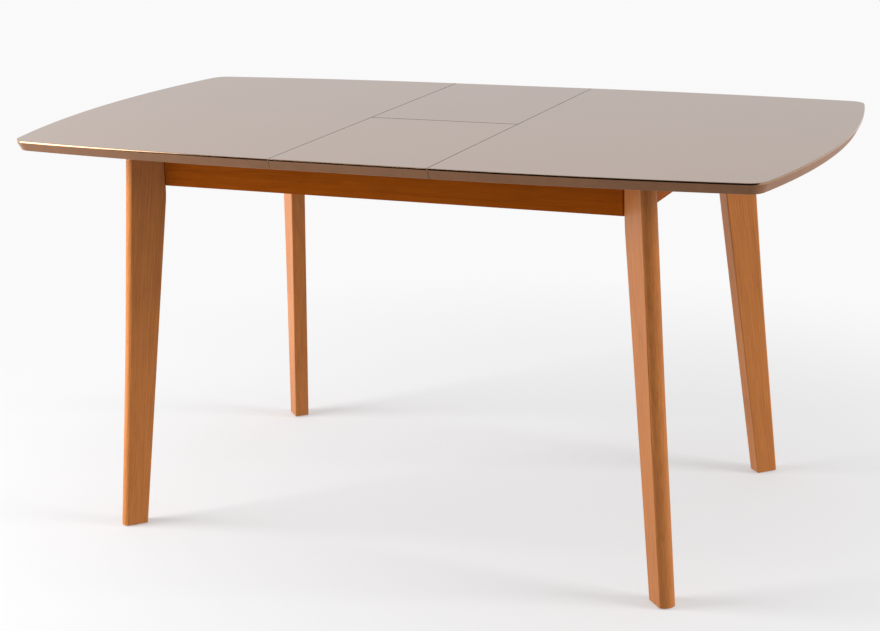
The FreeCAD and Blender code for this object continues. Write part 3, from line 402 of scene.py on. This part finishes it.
def gloss_lacquer(tint):
    """Taupe lacquer: polished with a faint orange peel, and duller underneath."""

    def inputs(graph):
        place = graph.place()
        height = graph.split(place)[2]
        underneath = 1 - height.between(UNDERSIDE + 0.0001, UNDERSIDE + 0.0002)
        peel = graph.noise(place, 330.0)
        haze = graph.noise(place, 7.0, 4.0, 0.6)
        specks = graph.noise(place, 2600.0, 1.0)
        tone = 0.35 * haze + 0.25 * specks + 0.2
        return {
            "Base Color": graph.mix(tone, *shades(tint, 0.93, 1.07)),
            "Roughness": 0.06 * haze + 0.34 * underneath + 0.10,
            "Coat Weight": 0.36 - 0.36 * underneath,
            "Coat Roughness": 0.06,
            "Normal": graph.bump(peel, 0.000016),
        }

    return new_material("taupe_lacquer", inputs)


def edge_finish(name, tint, roughness, metallic=0.0):
    """The finish of the top's edge, with a soft cloud in its shade and its sheen."""

    def inputs(graph):
        cloud = graph.noise(graph.place(), 40.0, 3.0)
        return {
            "Base Color": graph.mix(cloud, *shades(tint, 0.85, 1.15)),
            "Roughness": 0.08 * cloud + roughness,
            "Metallic": metallic,
            "Specular IOR Level": 0.2,
        }

    return new_material(name, inputs)


def bare_metal(name, tint, roughness):
    """Plated or cast metal: a soft mottle in its colour and its sheen."""

    def inputs(graph):
        place = graph.place()
        mottle = graph.noise(place, 90.0, 4.0, 0.6)
        grit = graph.noise(place, 1600.0)
        return {
            "Base Color": graph.mix(mottle, *shades(tint, 0.80, 1.12)),
            "Metallic": 1.0,
            "Roughness": 0.16 * mottle + 0.06 * grit + roughness,
            "Normal": graph.bump(grit, 0.000012),
        }

    return new_material(name, inputs)


def powder_coat(tint):
    """Black powder coating: a fine orange peel and a dull sheen."""

    def inputs(graph):
        place = graph.place()
        peel = graph.noise(place, 1100.0)
        wear = graph.noise(place, 35.0, 3.0)
        return {
            "Base Color": graph.mix(wear, *shades(tint, 1.0, 1.8)),
            "Roughness": 0.16 * peel + 0.38,
            "Normal": graph.bump(peel, 0.00005),
        }

    return new_material("black_coating", inputs)


def moulded_nylon(tint):
    """Nylon: cloudy, with a soft sheen."""

    def inputs(graph):
        cloud = graph.noise(graph.place(), 120.0, 3.0)
        return {
            "Base Color": graph.mix(cloud, *shades(tint, 0.86, 1.0)),
            "Roughness": 0.14 * cloud + 0.34,
        }

    return new_material("moulded_nylon", inputs)


def pressed_felt(tint):
    """Pressed felt: matted hairs in two shades, with a rough nap."""

    def inputs(graph):
        place = graph.place()
        hairs = graph.noise(place, 2400.0, 4.0, 0.7)
        mat = graph.noise(place, 420.0, 3.0)
        return {
            "Base Color": graph.mix(0.6 * hairs + 0.4 * mat, *shades(tint, 1.0, 2.3)),
            "Roughness": 1.0,
            "Sheen Weight": 0.35,
            "Normal": graph.bump(hairs + mat, 0.0004),
        }

    return new_material("pressed_felt", inputs)


# ---------------------------------------------------------------- meshes


def spin(bm, vertex, centre, axis, angle, steps):
    """Draw an arc on from a vertex, and return the vertex at its end."""
    made = bmesh.ops.spin(
        bm, geom=[vertex], cent=centre, axis=axis, dvec=(0, 0, 0), angle=angle, space=Matrix(),
        steps=steps, use_merge=False, use_normal_flip=False, use_duplicate=False,
    )
    return next(item for item in made["geom_last"] if isinstance(item, bmesh.types.BMVert))


def line(bm, vertex, place):
    """Draw a straight line on from a vertex, and return the vertex at its end."""
    made = bmesh.ops.extrude_vert_indiv(bm, verts=[vertex])["verts"][0]
    made.co = place
    return made


def extrude(bm, face, shift):
    """Extrude a face, into a closed block where it stood alone."""
    made = bmesh.ops.extrude_face_region(bm, geom=[face])["geom"]
    verts = [item for item in made if isinstance(item, bmesh.types.BMVert)]
    bmesh.ops.translate(bm, verts=verts, vec=shift)


def bevel(bm, edges, width, segments):
    """Round edges off."""
    bmesh.ops.bevel(
        bm, geom=edges, offset=width, offset_type="OFFSET", segments=segments, profile=0.5,
        affect="EDGES", clamp_overlap=True, material=-1,
    )


def edges_where(bm, test):
    """The edges whose two ends both pass the test."""
    return [edge for edge in bm.edges if all(test(vert.co) for vert in edge.verts)]


def near(number, other):
    """Whether two measures are the same."""
    return abs(number - other) < TOUCH


def cut(bm, place, away):
    """Cut a closed block by a plane, drop what lies beyond it and close the cut."""
    geom = bm.verts[:] + bm.edges[:] + bm.faces[:]
    made = bmesh.ops.bisect_plane(
        bm, geom=geom, dist=IN_CUT, plane_co=place, plane_no=away, clear_outer=True
    )
    edges = [item for item in made["geom_cut"] if isinstance(item, bmesh.types.BMEdge)]
    bmesh.ops.contextual_create(bm, geom=edges)


def keep_flat(piece):
    """Smooth shading on the curves that leaves the flat faces flat."""
    modifier = piece.modifiers.new("Weighted Normal", "WEIGHTED_NORMAL")
    modifier.keep_sharp = True


def new_piece(name, bm, materials, *replaced):
    """Turn a bmesh into a piece that rides, and is finished, as the CAD nodes it replaces."""
    bmesh.ops.recalc_face_normals(bm, faces=bm.faces)
    for face in bm.faces:
        face.smooth = True
    for edge in bm.edges:
        edge.smooth = edge.calc_face_angle(math.pi) < CREASE
    mesh = bpy.data.meshes.new(name)
    bm.to_mesh(mesh)
    bm.free()
    for material in materials:
        mesh.materials.append(material)
    piece = bpy.data.objects.new(name, mesh)
    bpy.context.collection.objects.link(piece)
    keep_flat(piece)
    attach(piece, body_of(frame["nodes"][replaced[0]])[0])
    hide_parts(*replaced)
    return piece


def dress(name, material, arris):
    """Give a CAD node its finish, join its loose triangles and ease its edges."""
    node = frame["nodes"][name]
    node.data.materials.clear()
    node.data.materials.append(material)
    weld = node.modifiers.new("Weld", "WELD")
    weld.merge_threshold = WELD_REACH
    planar = node.modifiers.new("Planar", "DECIMATE")
    planar.decimate_type = "DISSOLVE"
    planar.angle_limit = FLAT_WITHIN
    eased = node.modifiers.new("Bevel", "BEVEL")
    eased.width = arris
    eased.segments = 2
    eased.limit_method = "ANGLE"
    eased.angle_limit = CREASE
    keep_flat(node)


# ---------------------------------------------------------------- the top


def top_arcs(sizes):
    """The middle and the turn of each arc of a quarter of the outline: side, corner, end."""
    side = Vector((HALF_TOP_SEAM, HALF_WIDTH - sizes.side_bow))
    end = Vector((HALF_LENGTH - sizes.end_bow, 0.0))
    side_reach = sizes.side_bow - sizes.corner
    end_reach = sizes.end_bow - sizes.corner
    apart = end - side
    along = (side_reach ** 2 - end_reach ** 2 + apart.length_squared) / (2 * apart.length)
    beside = math.sqrt(side_reach ** 2 - along ** 2)
    direction = apart.normalized()
    corner = side + direction * along + Vector((direction.y, -direction.x)) * beside
    side_turn = math.atan2(corner.x - side.x, corner.y - side.y)
    end_turn = math.atan2(corner.y - end.y, corner.x - end.x)
    return (side, side_turn), (corner, math.pi / 2 - side_turn - end_turn), (end, end_turn)


def top_slab(sizes):
    """The whole top in one block: bowed outline, upright strip and undercut edge."""
    strip_low = TOP_LEVEL - sizes.strip
    bm = bmesh.new()
    vertex = bmesh.ops.create_vert(bm, co=(0.0, HALF_WIDTH, strip_low))["vert"][0]
    vertex = line(bm, vertex, (HALF_TOP_SEAM, HALF_WIDTH, strip_low))
    for (middle, turn), steps in zip(top_arcs(sizes), (BOW_STEPS, CORNER_STEPS, BOW_STEPS)):
        vertex = spin(bm, vertex, (*middle, strip_low), (0, 0, -1), turn, steps)
    for axis in ("X", "Y"):
        geom = bm.verts[:] + bm.edges[:]
        bmesh.ops.mirror(bm, geom=geom, matrix=Matrix(), merge_dist=TOUCH, axis=axis)
    face = bmesh.ops.contextual_create(bm, geom=bm.edges[:])["faces"][0]
    extrude(bm, face, (0, 0, sizes.strip))
    bmesh.ops.recalc_face_normals(bm, faces=bm.faces)
    lowest = min(bm.faces, key=lambda item: item.calc_center_median().z)
    bmesh.ops.inset_region(
        bm, faces=[lowest], thickness=sizes.undercut, depth=strip_low - UNDERSIDE,
        use_boundary=True, use_even_offset=True,
    )
    return bm


def ease_top_piece(bm, sizes, seams):
    """Ease the arrises of one piece of the top, and give its faces their finishes.

    A seam is the axis that it lies across, its place there, and how deep it is worked.
    """
    strip_low = TOP_LEVEL - sizes.strip
    arrises = (
        (TOP_LEVEL, sizes.arris, 4),
        (UNDERSIDE, sizes.arris, 4),
        (strip_low, sizes.strip_arris, 3),
    )
    for level, width, segments in arrises:
        bevel(bm, edges_where(bm, lambda co: near(co.z, level)), width, segments)
    bm.normal_update()
    for face in bm.faces:
        upwards = face.normal.z
        in_seam = any(
            all(abs(vert.co[axis] - place) < depth for vert in face.verts)
            for axis, place, depth in seams
        )
        if in_seam:
            # The rounded arrises along a seam take painted shade, as dark as the shadow in the gap.
            rounded = UPRIGHT < abs(upwards) < LEVEL
            face.material_index = SEAM_PAINTED_SHADE if rounded else LACQUER
        elif upwards > LACQUER_END or upwards < -LEVEL:
            face.material_index = LACQUER
        elif upwards > STRIP_END:
            face.material_index = STRIP
        else:
            face.material_index = EDGE_FACE


def faces_on_seam(bm, seam):
    """The faces that lie in the seam between the two wings."""
    return [face for face in bm.faces if all(near(vert.co.y, seam) for vert in face.verts)]


def sink_hinge_pockets(bm, sizes, cups, seam):
    """Sink the two pockets of the hinge cups into a wing's seam face."""
    low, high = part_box(cups)
    floor = high.y if seam > 0 else low.y
    outer, inner = high.x, high.x - sizes.hinge_cup
    scores = [((x, 0, 0), (1, 0, 0)) for x in (-outer, -inner, inner, outer)]
    scores += [((0, 0, z), (0, 0, 1)) for z in (low.z, high.z)]
    for place, across in scores:
        faces = faces_on_seam(bm, seam)
        geom = faces + list({edge for face in faces for edge in face.edges})
        geom += list({vert for face in faces for vert in face.verts})
        bmesh.ops.bisect_plane(bm, geom=geom, dist=IN_CUT, plane_co=place, plane_no=across)
    for face in faces_on_seam(bm, seam):
        centre = face.calc_center_median()
        if inner < abs(centre.x) < outer and low.z < centre.z < high.z:
            extrude(bm, face, (0, floor - seam, 0))


class TABLE_OT_top(bpy.types.Operator):
    """Shape the two half tops and the two wings of the leaf"""

    bl_idname = "table.top"
    bl_label = "Top"

    def execute(self, context):
        sizes = context.scene.table_top
        finishes = context.scene.table_finishes
        materials = (
            gloss_lacquer(finishes.lacquer),
            edge_finish("edge_strip", finishes.edge_strip, roughness=0.03, metallic=1.0),
            edge_finish("edge_face", finishes.edge_face, roughness=0.40),
            edge_finish("seam_painted_shade", finishes.seam_painted_shade, roughness=0.55),
        )
        slab = top_slab(sizes)
        eased = sizes.arris + TOUCH

        for name, side in (("top_left", -1), ("top_right", 1)):
            bm = slab.copy()
            seam = side * (LEAF_SEAM + sizes.seam_gap)
            cut(bm, (seam, 0, 0), (-side, 0, 0))
            ease_top_piece(bm, sizes, [(0, seam, eased)])
            new_piece(f"half_{name}", bm, materials, name)

        for name, side in (("front", -1), ("back", 1)):
            bm = slab.copy()
            cups = f"hinge_cups_{name}"
            low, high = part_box(cups)
            seam = side * WING_SEAM
            seams = [(1, seam, high.y - low.y)]
            cut(bm, (0, seam, 0), (0, -side, 0))
            for end in (-1, 1):
                seams.append((0, end * LEAF_SEAM, eased))
                cut(bm, (end * LEAF_SEAM, 0, 0), (end, 0, 0))
            sink_hinge_pockets(bm, sizes, cups, seam)
            ease_top_piece(bm, sizes, seams)
            new_piece(f"leaf_{name}_wing", bm, materials, f"leaf_{name}")
        slab.free()
        return {"FINISHED"}


# ---------------------------------------------------------------- the legs


def leg_profile(bm, sizes):
    """The leg's side view: X outwards from its seat, Z up. The board's thickness is along Y."""
    side = -sizes.thickness / 2
    knee_level = APRON_HIGH - sizes.knee_drop
    toe = sizes.foot_reach - sizes.foot_width
    lean = math.atan2(toe, knee_level - FOOT_LEVEL)
    knee_start = knee_level + sizes.knee * math.tan(lean / 2)
    slope = math.atan2(sizes.foot_reach - sizes.top_width, APRON_HIGH - FOOT_LEVEL)
    turn = sizes.bend_length / sizes.bend
    bend_x = sizes.top_width + sizes.bend_drop * math.tan(slope - turn / 2)
    bend_end = Vector((bend_x, side, APRON_HIGH - sizes.bend_drop))
    spread = Vector((math.cos(slope - turn / 2), 0.0, math.sin(slope - turn / 2)))
    bend_middle = bend_end + sizes.bend * spread
    bend_start = bend_middle + Matrix.Rotation(-turn, 3, "Y") @ (bend_end - bend_middle)

    start = bmesh.ops.create_vert(bm, co=(0.0, side, APRON_HIGH))["vert"][0]
    vertex = line(bm, start, (0.0, side, knee_start))
    vertex = spin(bm, vertex, (sizes.knee, side, knee_start), (0, -1, 0), lean, KNEE_STEPS)
    vertex = line(bm, vertex, (toe, side, FOOT_LEVEL))
    vertex = line(bm, vertex, (sizes.foot_reach, side, FOOT_LEVEL))
    vertex = line(bm, vertex, bend_start)
    vertex = spin(bm, vertex, bend_middle, (0, 1, 0), turn, BEND_STEPS)
    vertex = line(bm, vertex, (sizes.top_width, side, APRON_HIGH))
    line(bm, vertex, start.co)
    bmesh.ops.remove_doubles(bm, verts=bm.verts, dist=TOUCH)
    return bmesh.ops.contextual_create(bm, geom=bm.edges[:])["faces"][0]


def on_outer_side(co, sizes):
    """Whether a place lies on the outer side of the leg's middle line."""
    down = (APRON_HIGH - co.z) / (APRON_HIGH - FOOT_LEVEL)
    foot_middle = sizes.foot_reach - sizes.foot_width / 2
    return co.x > sizes.top_width / 2 * (1 - down) + foot_middle * down


def crown_outer_edge(bm, sizes):
    """Bow the outer edge into an arc from one wide face to the other."""
    half = sizes.thickness / 2
    radius = (half ** 2 + sizes.crown ** 2) / (2 * sizes.crown)
    turn = math.asin(half / radius)
    for step in range(1 - CROWN_STEPS, CROWN_STEPS):
        y = radius * math.sin(turn * step / CROWN_STEPS)
        geom = bm.verts[:] + bm.edges[:] + bm.faces[:]
        bmesh.ops.bisect_plane(bm, geom=geom, dist=IN_CUT, plane_co=(0, y, 0), plane_no=(0, 1, 0))
    for vert in bm.verts:
        if on_outer_side(vert.co, sizes):
            vert.co.x -= radius - math.sqrt(radius ** 2 - vert.co.y ** 2)


def leg_board(sizes):
    """A tapered, kneed board with a crowned outer edge."""
    half = sizes.thickness / 2
    bm = bmesh.new()
    extrude(bm, leg_profile(bm, sizes), (0, sizes.thickness, 0))
    bmesh.ops.recalc_face_normals(bm, faces=bm.faces)
    crown_outer_edge(bm, sizes)
    outer, inner = [], []
    for edge in edges_where(bm, lambda co: near(abs(co.y), half)):
        one, other = (vert.co for vert in edge.verts)
        if near(one.y, other.y) and not near(one.z, other.z):
            side = outer if on_outer_side(one, sizes) else inner
            side.append(edge)
    bevel(bm, outer, sizes.outer_arris, 3)
    bevel(bm, inner, sizes.arris, 4)
    for level in (FOOT_LEVEL, APRON_HIGH):
        ends = edges_where(bm, lambda co: near(co.z, level))
        rim = [edge for edge in ends if edge.calc_face_angle(0.0) > CREASE]
        bevel(bm, rim, sizes.end_arris, 2)
    return bm


class TABLE_OT_legs(bpy.types.Operator):
    """Shape the four legs and set them on the cut corners of the frame"""

    bl_idname = "table.legs"
    bl_label = "Legs"

    def execute(self, context):
        sizes = context.scene.table_legs
        finishes = context.scene.table_finishes
        lean = math.atan2(sizes.foot_reach - sizes.top_width / 2, APRON_HIGH)
        # The side of each corner along X and Y, the leg's heading, and a factor that lightens its
        # board: painted light, which stands in for lamp light that falls unevenly on the legs.
        corners = (
            ("front_left", -1, -1, -135, 1.24),
            ("front_right", 1, -1, -45, 1.0),
            ("back_right", 1, 1, 45, 1.04),
            ("back_left", -1, 1, 135, 1.08),
        )
        for number, (corner, side_x, side_y, degrees, shade) in enumerate(corners):
            seat = Vector((side_x * SEAT.x, side_y * SEAT.y, 0.0))
            turn = math.radians(degrees)
            bm = leg_board(sizes)
            place = Matrix.Translation(seat) @ Matrix.Rotation(turn, 4, "Z")
            bmesh.ops.transform(bm, matrix=place, verts=bm.verts)
            # Both colours of the stain are scaled by the leg's factor of painted light.
            wood = beech(
                f"stained_beech_{corner}_leg",
                Vector(finishes.stain_light) * shade, Vector(finishes.stain_dark) * shade,
                seat + Vector((0.0, 0.0, LEG_STRETCH * number)), (0.0, -lean, turn), gloss=0.45,
            )
            new_piece(f"{corner}_leg", bm, (wood,), f"leg_{corner}")
        return {"FINISHED"}


# ---------------------------------------------------------------- the frame


def apron_board(sizes, inner, mitre, outer, outer_axis):
    """A board mitred behind the legs' seats, with its outer face across X (0) or Y (1).

    The three corners are those of one end, and the other end mirrors it.
    """
    bm = bmesh.new()
    mirror = Vector((-1, 1, 1)) if outer_axis == 1 else Vector((1, -1, 1))
    for place in (inner, mitre, outer):
        low = Vector((place.x, place.y, APRON_LOW))
        bmesh.ops.create_vert(bm, co=low)
        bmesh.ops.create_vert(bm, co=low * mirror)
    face = bmesh.ops.contextual_create(bm, geom=bm.verts[:])["faces"][0]
    extrude(bm, face, (0, 0, APRON_HIGH - APRON_LOW))
    bmesh.ops.recalc_face_normals(bm, faces=bm.faces)
    face_place = outer[outer_axis]
    lower = edges_where(bm, lambda co: near(co[outer_axis], face_place) and near(co.z, APRON_LOW))
    bevel(bm, lower, sizes.lower_arris, 4)
    others = [edge for edge in bm.edges if edge.calc_face_angle(0.0) > CREASE]
    bevel(bm, others, sizes.arris, 2)
    return bm


class TABLE_OT_aprons(bpy.types.Operator):
    """Shape the four aprons"""

    bl_idname = "table.aprons"
    bl_label = "Aprons"

    def execute(self, context):
        sizes = context.scene.table_frame
        finishes = context.scene.table_finishes
        # The line of the cut corners, where X and Y have this sum, ends each outer face.
        reach = SEAT.x + SEAT.y
        long_end = Vector((reach - OUTSIDE.y, OUTSIDE.y, 0.0))
        short_end = Vector((OUTSIDE.x, reach - OUTSIDE.x, 0.0))
        middle = (APRON_LOW + APRON_HIGH) / 2
        boards = (
            ("front", 1, Vector((1, -1, 1))),
            ("back", 1, Vector((1, 1, 1))),
            ("left", 0, Vector((-1, 1, 1))),
            ("right", 0, Vector((1, 1, 1))),
        )
        for number, (side, outer_axis, flip) in enumerate(boards):
            stretch = APRON_STRETCH * number
            if outer_axis == 1:
                outer, turn = long_end * flip, ALONG_X
                at = (stretch + LONG_APRON_START, outer.y, middle)
            else:
                outer, turn = short_end * flip, ALONG_Y
                at = (outer.x, stretch, middle)
            bm = apron_board(sizes, INSIDE * flip, SEAT * flip, outer, outer_axis)
            wood = beech(
                f"stained_beech_{side}_apron", finishes.frame_light, finishes.frame_dark, at, turn,
                gloss=0.03,
            )
            new_piece(f"{side}_apron", bm, (wood,), f"apron_{side}")
        return {"FINISHED"}


class TABLE_OT_fittings(bpy.types.Operator):
    """Finish the hidden timber, the slides, the swing fitting, the screws and the pads"""

    bl_idname = "table.fittings"
    bl_label = "Fittings"

    def execute(self, context):
        sizes = context.scene.table_frame
        finishes = context.scene.table_finishes
        # How the names of each timber's pieces start, and the place and turn of its grain.
        timbers = (
            ("runner", (0.0, 0.02, 0.70), ALONG_X),
            ("cross_rail", (0.05, 0.0, 0.68), ALONG_Y),
            ("corner_block", (0.30, 0.20, 0.0), (0.0, 0.0, 0.6)),
        )
        plain_beech = {
            timber: beech(
                f"plain_beech_{timber}s", finishes.plain_light, finishes.plain_dark, at, turn,
                roughness=0.52,
            )
            for timber, at, turn in timbers
        }
        looks = {
            "zinc_steel": bare_metal("zinc_steel", finishes.steel, roughness=0.26),
            "black_steel": powder_coat(finishes.coating),
            "hinge_zinc": bare_metal("cast_zinc", finishes.hinge, roughness=0.34),
            "nylon": moulded_nylon(finishes.nylon),
            "felt": pressed_felt(finishes.felt),
        }
        for name, node in frame["nodes"].items():
            if node.hide_render:
                continue
            if SLOTS[name] in looks:
                dress(name, looks[SLOTS[name]], sizes.steel_arris)
            else:
                timber = next(timber for timber in plain_beech if name.startswith(timber))
                dress(name, plain_beech[timber], sizes.arris)
        return {"FINISHED"}


# ---------------------------------------------------------------- the studio


def soft_lamp(name, watts, place, width, height):
    """A rectangular lamp turned to the table, which isn't seen itself, nor in reflections."""
    data = bpy.data.lights.new(name, "AREA")
    data.shape = "RECTANGLE"
    data.size = width
    data.size_y = height
    data.energy = watts
    lamp = bpy.data.objects.new(name, data)
    bpy.context.collection.objects.link(lamp)
    lamp.location = place
    beam = LIT_MIDDLE - Vector(place)
    lamp.rotation_euler = beam.to_track_quat("-Z", "Y").to_euler()
    lamp.visible_camera = False
    lamp.visible_glossy = False


def floor_paint(tint):
    """Pale paint that takes the table's shadow, glows away from it and is clear from below."""
    material = bpy.data.materials.new("floor")
    graph = Graph(material)
    path = graph.node("ShaderNodeLightPath").outputs
    mirrored = Value(graph, path["Is Glossy Ray"])
    seen = Value(graph, path["Is Camera Ray"])
    x, y, _ = graph.split(graph.place())
    leftwards = 0 - x
    forwards = 0 - y

    # It throws less light up on the table than its tint would.
    shade = graph.mix(seen, (0.36, 0.36, 0.36), tint)
    paint = graph.add("ShaderNodeBsdfDiffuse", None, {"Color": shade})

    # In reflections it fades to dark towards the front and rises at the left, and a bright patch
    # at the front left draws a white line on the edge strip.
    patch = leftwards.between(2.9, 3.4) * (1 - leftwards.between(4.6, 5.4))
    patch = patch * forwards.between(1.0, 1.5)
    lit = y.between(-2.6, -1.1)
    reflected = lit * (0.92 + 0.8 * leftwards.between(0.3, 1.2)) + 0.02 + 7 * patch
    brightness = mirrored * reflected + (1 - mirrored) * PAPER_WHITE
    glow = graph.add("ShaderNodeEmission", None, {"Strength": brightness})

    # The shadow keeps its depth under the table, and gives way to the glow by 1.7 m out.
    clear_of_table = (x * x + y * y).between(0.1, 3.0)
    share = mirrored + seen * (0.64 * clear_of_table + 0.36)
    upper = graph.add("ShaderNodeMixShader", None, {"Fac": share, 1: paint, 2: glow})
    below = graph.add("ShaderNodeNewGeometry", output="Backfacing")
    clear = graph.add("ShaderNodeBsdfTransparent")
    surface = graph.add("ShaderNodeMixShader", None, {"Fac": below, 1: upper, 2: clear})
    graph.node("ShaderNodeOutputMaterial", None, {"Surface": surface})
    # The glow differs from ray to ray, so it isn't sampled as a lamp.
    material.cycles.emission_sampling = "NONE"
    return material


def studio_floor(tint):
    """A pale floor, seen from above only."""
    bm = bmesh.new()
    bmesh.ops.create_grid(bm, x_segments=1, y_segments=1, size=16.0)
    mesh = bpy.data.meshes.new("floor")
    bm.to_mesh(mesh)
    bm.free()
    mesh.materials.append(floor_paint(tint))
    floor = bpy.data.objects.new("floor", mesh)
    bpy.context.collection.objects.link(floor)


def studio_world(studio):
    """The surround: white where it is seen, walls in reflections, and soft daylight."""
    world = bpy.data.worlds.new("studio")
    graph = Graph(world)
    direction = graph.add("ShaderNodeTexCoord", output="Generated")
    x, y, z = graph.split(direction)
    path = graph.node("ShaderNodeLightPath").outputs
    seen = Value(graph, path["Is Camera Ray"]) + Value(graph, path["Is Transmission Ray"])
    mirrored = Value(graph, path["Is Glossy Ray"])

    # The walls are dark low down at the front, and brightest at the left.
    left = (0 - x).between(0.5, 0.95)
    lit = 1 - (1 - y.between(-0.85, -0.40)) * (1 - z.between(0.05, 0.20))
    walls = lit * (1 + 0.4 * left) * studio.surround + 0.024

    all_round = (0.75 * y.between(-0.9, 0.2) + 0.25) * studio.ambient
    daylight = z.math("MAXIMUM", 0.0) * studio.overhead + all_round
    unseen = mirrored * walls + (1 - mirrored) * daylight
    white = {"Color": (1.0, 1.0, 1.0, 1.0), "Strength": PAPER_WHITE * seen + (1 - seen) * unseen}
    background = graph.add("ShaderNodeBackground", None, white)
    graph.node("ShaderNodeOutputWorld", None, {"Surface": background})
    # The surround differs from ray to ray, so it isn't sampled as a lamp.
    world.cycles.sampling_method = "NONE"
    bpy.context.scene.world = world


def studio_camera():
    """A long lens from the front right, a little above the top."""
    data = bpy.data.cameras.new("camera")
    data.lens = 76.14
    camera = bpy.data.objects.new("camera", data)
    bpy.context.collection.objects.link(camera)
    place = Matrix.Translation((1.42299, -3.12097, 1.37827))
    heading = Matrix.Rotation(0.43337, 4, "Z")
    tilt = Matrix.Rotation(math.pi / 2 - 0.28533, 4, "X")
    roll = Matrix.Rotation(-0.035878, 4, "Z")
    camera.matrix_world = place @ (heading @ tilt @ roll)
    bpy.context.scene.camera = camera


class TABLE_OT_studio(bpy.types.Operator):
    """Set up the floor, the lamps, the surround and the camera"""

    bl_idname = "table.studio"
    bl_label = "Studio"

    def execute(self, context):
        studio = context.scene.table_studio
        context.scene.view_settings.view_transform = "Standard"
        studio_floor(context.scene.table_finishes.floor)
        studio_world(studio)
        soft_lamp("left_lamp", studio.left_power, (-3.10, -1.65, 1.4), width=1.9, height=2.6)
        soft_lamp("right_lamp", studio.right_power, (9.1, 0.9, 2.9), width=3.4, height=5.4)
        studio_camera()
        return {"FINISHED"}


# ---------------------------------------------------------------- the add-on


class TABLE_PT_sidebar(bpy.types.Panel):
    """The table's pieces, sizes and finishes"""

    bl_idname = "TABLE_PT_sidebar"
    bl_label = "Butterfly Leaf Table"
    bl_space_type = "VIEW_3D"
    bl_region_type = "UI"
    bl_category = "Table"

    def draw(self, context):
        for operator in OPERATORS:
            self.layout.operator(operator.bl_idname)
        for group in GROUPS:
            box = self.layout.box()
            sizes = getattr(context.scene, group)
            for name in sizes.__annotations__:
                box.prop(sizes, name)


OPERATORS = (TABLE_OT_top, TABLE_OT_legs, TABLE_OT_aprons, TABLE_OT_fittings, TABLE_OT_studio)

GROUPS = {
    "table_top": TableTopSizes,
    "table_legs": TableLegSizes,
    "table_frame": TableFrameSizes,
    "table_finishes": TableFinishes,
    "table_studio": TableStudio,
}


def register():
    for item in (*GROUPS.values(), *OPERATORS, TABLE_PT_sidebar):
        bpy.utils.register_class(item)
    for name, group in GROUPS.items():
        setattr(bpy.types.Scene, name, PointerProperty(type=group))


def unregister():
    for name in GROUPS:
        delattr(bpy.types.Scene, name)
    for item in (TABLE_PT_sidebar, *OPERATORS, *reversed(GROUPS.values())):
        bpy.utils.unregister_class(item)


def main():
    register()
    bpy.ops.table.top()
    bpy.ops.table.legs()
    bpy.ops.table.aprons()
    bpy.ops.table.fittings()
    bpy.ops.table.studio()


if __name__ == "__main__":
    main()
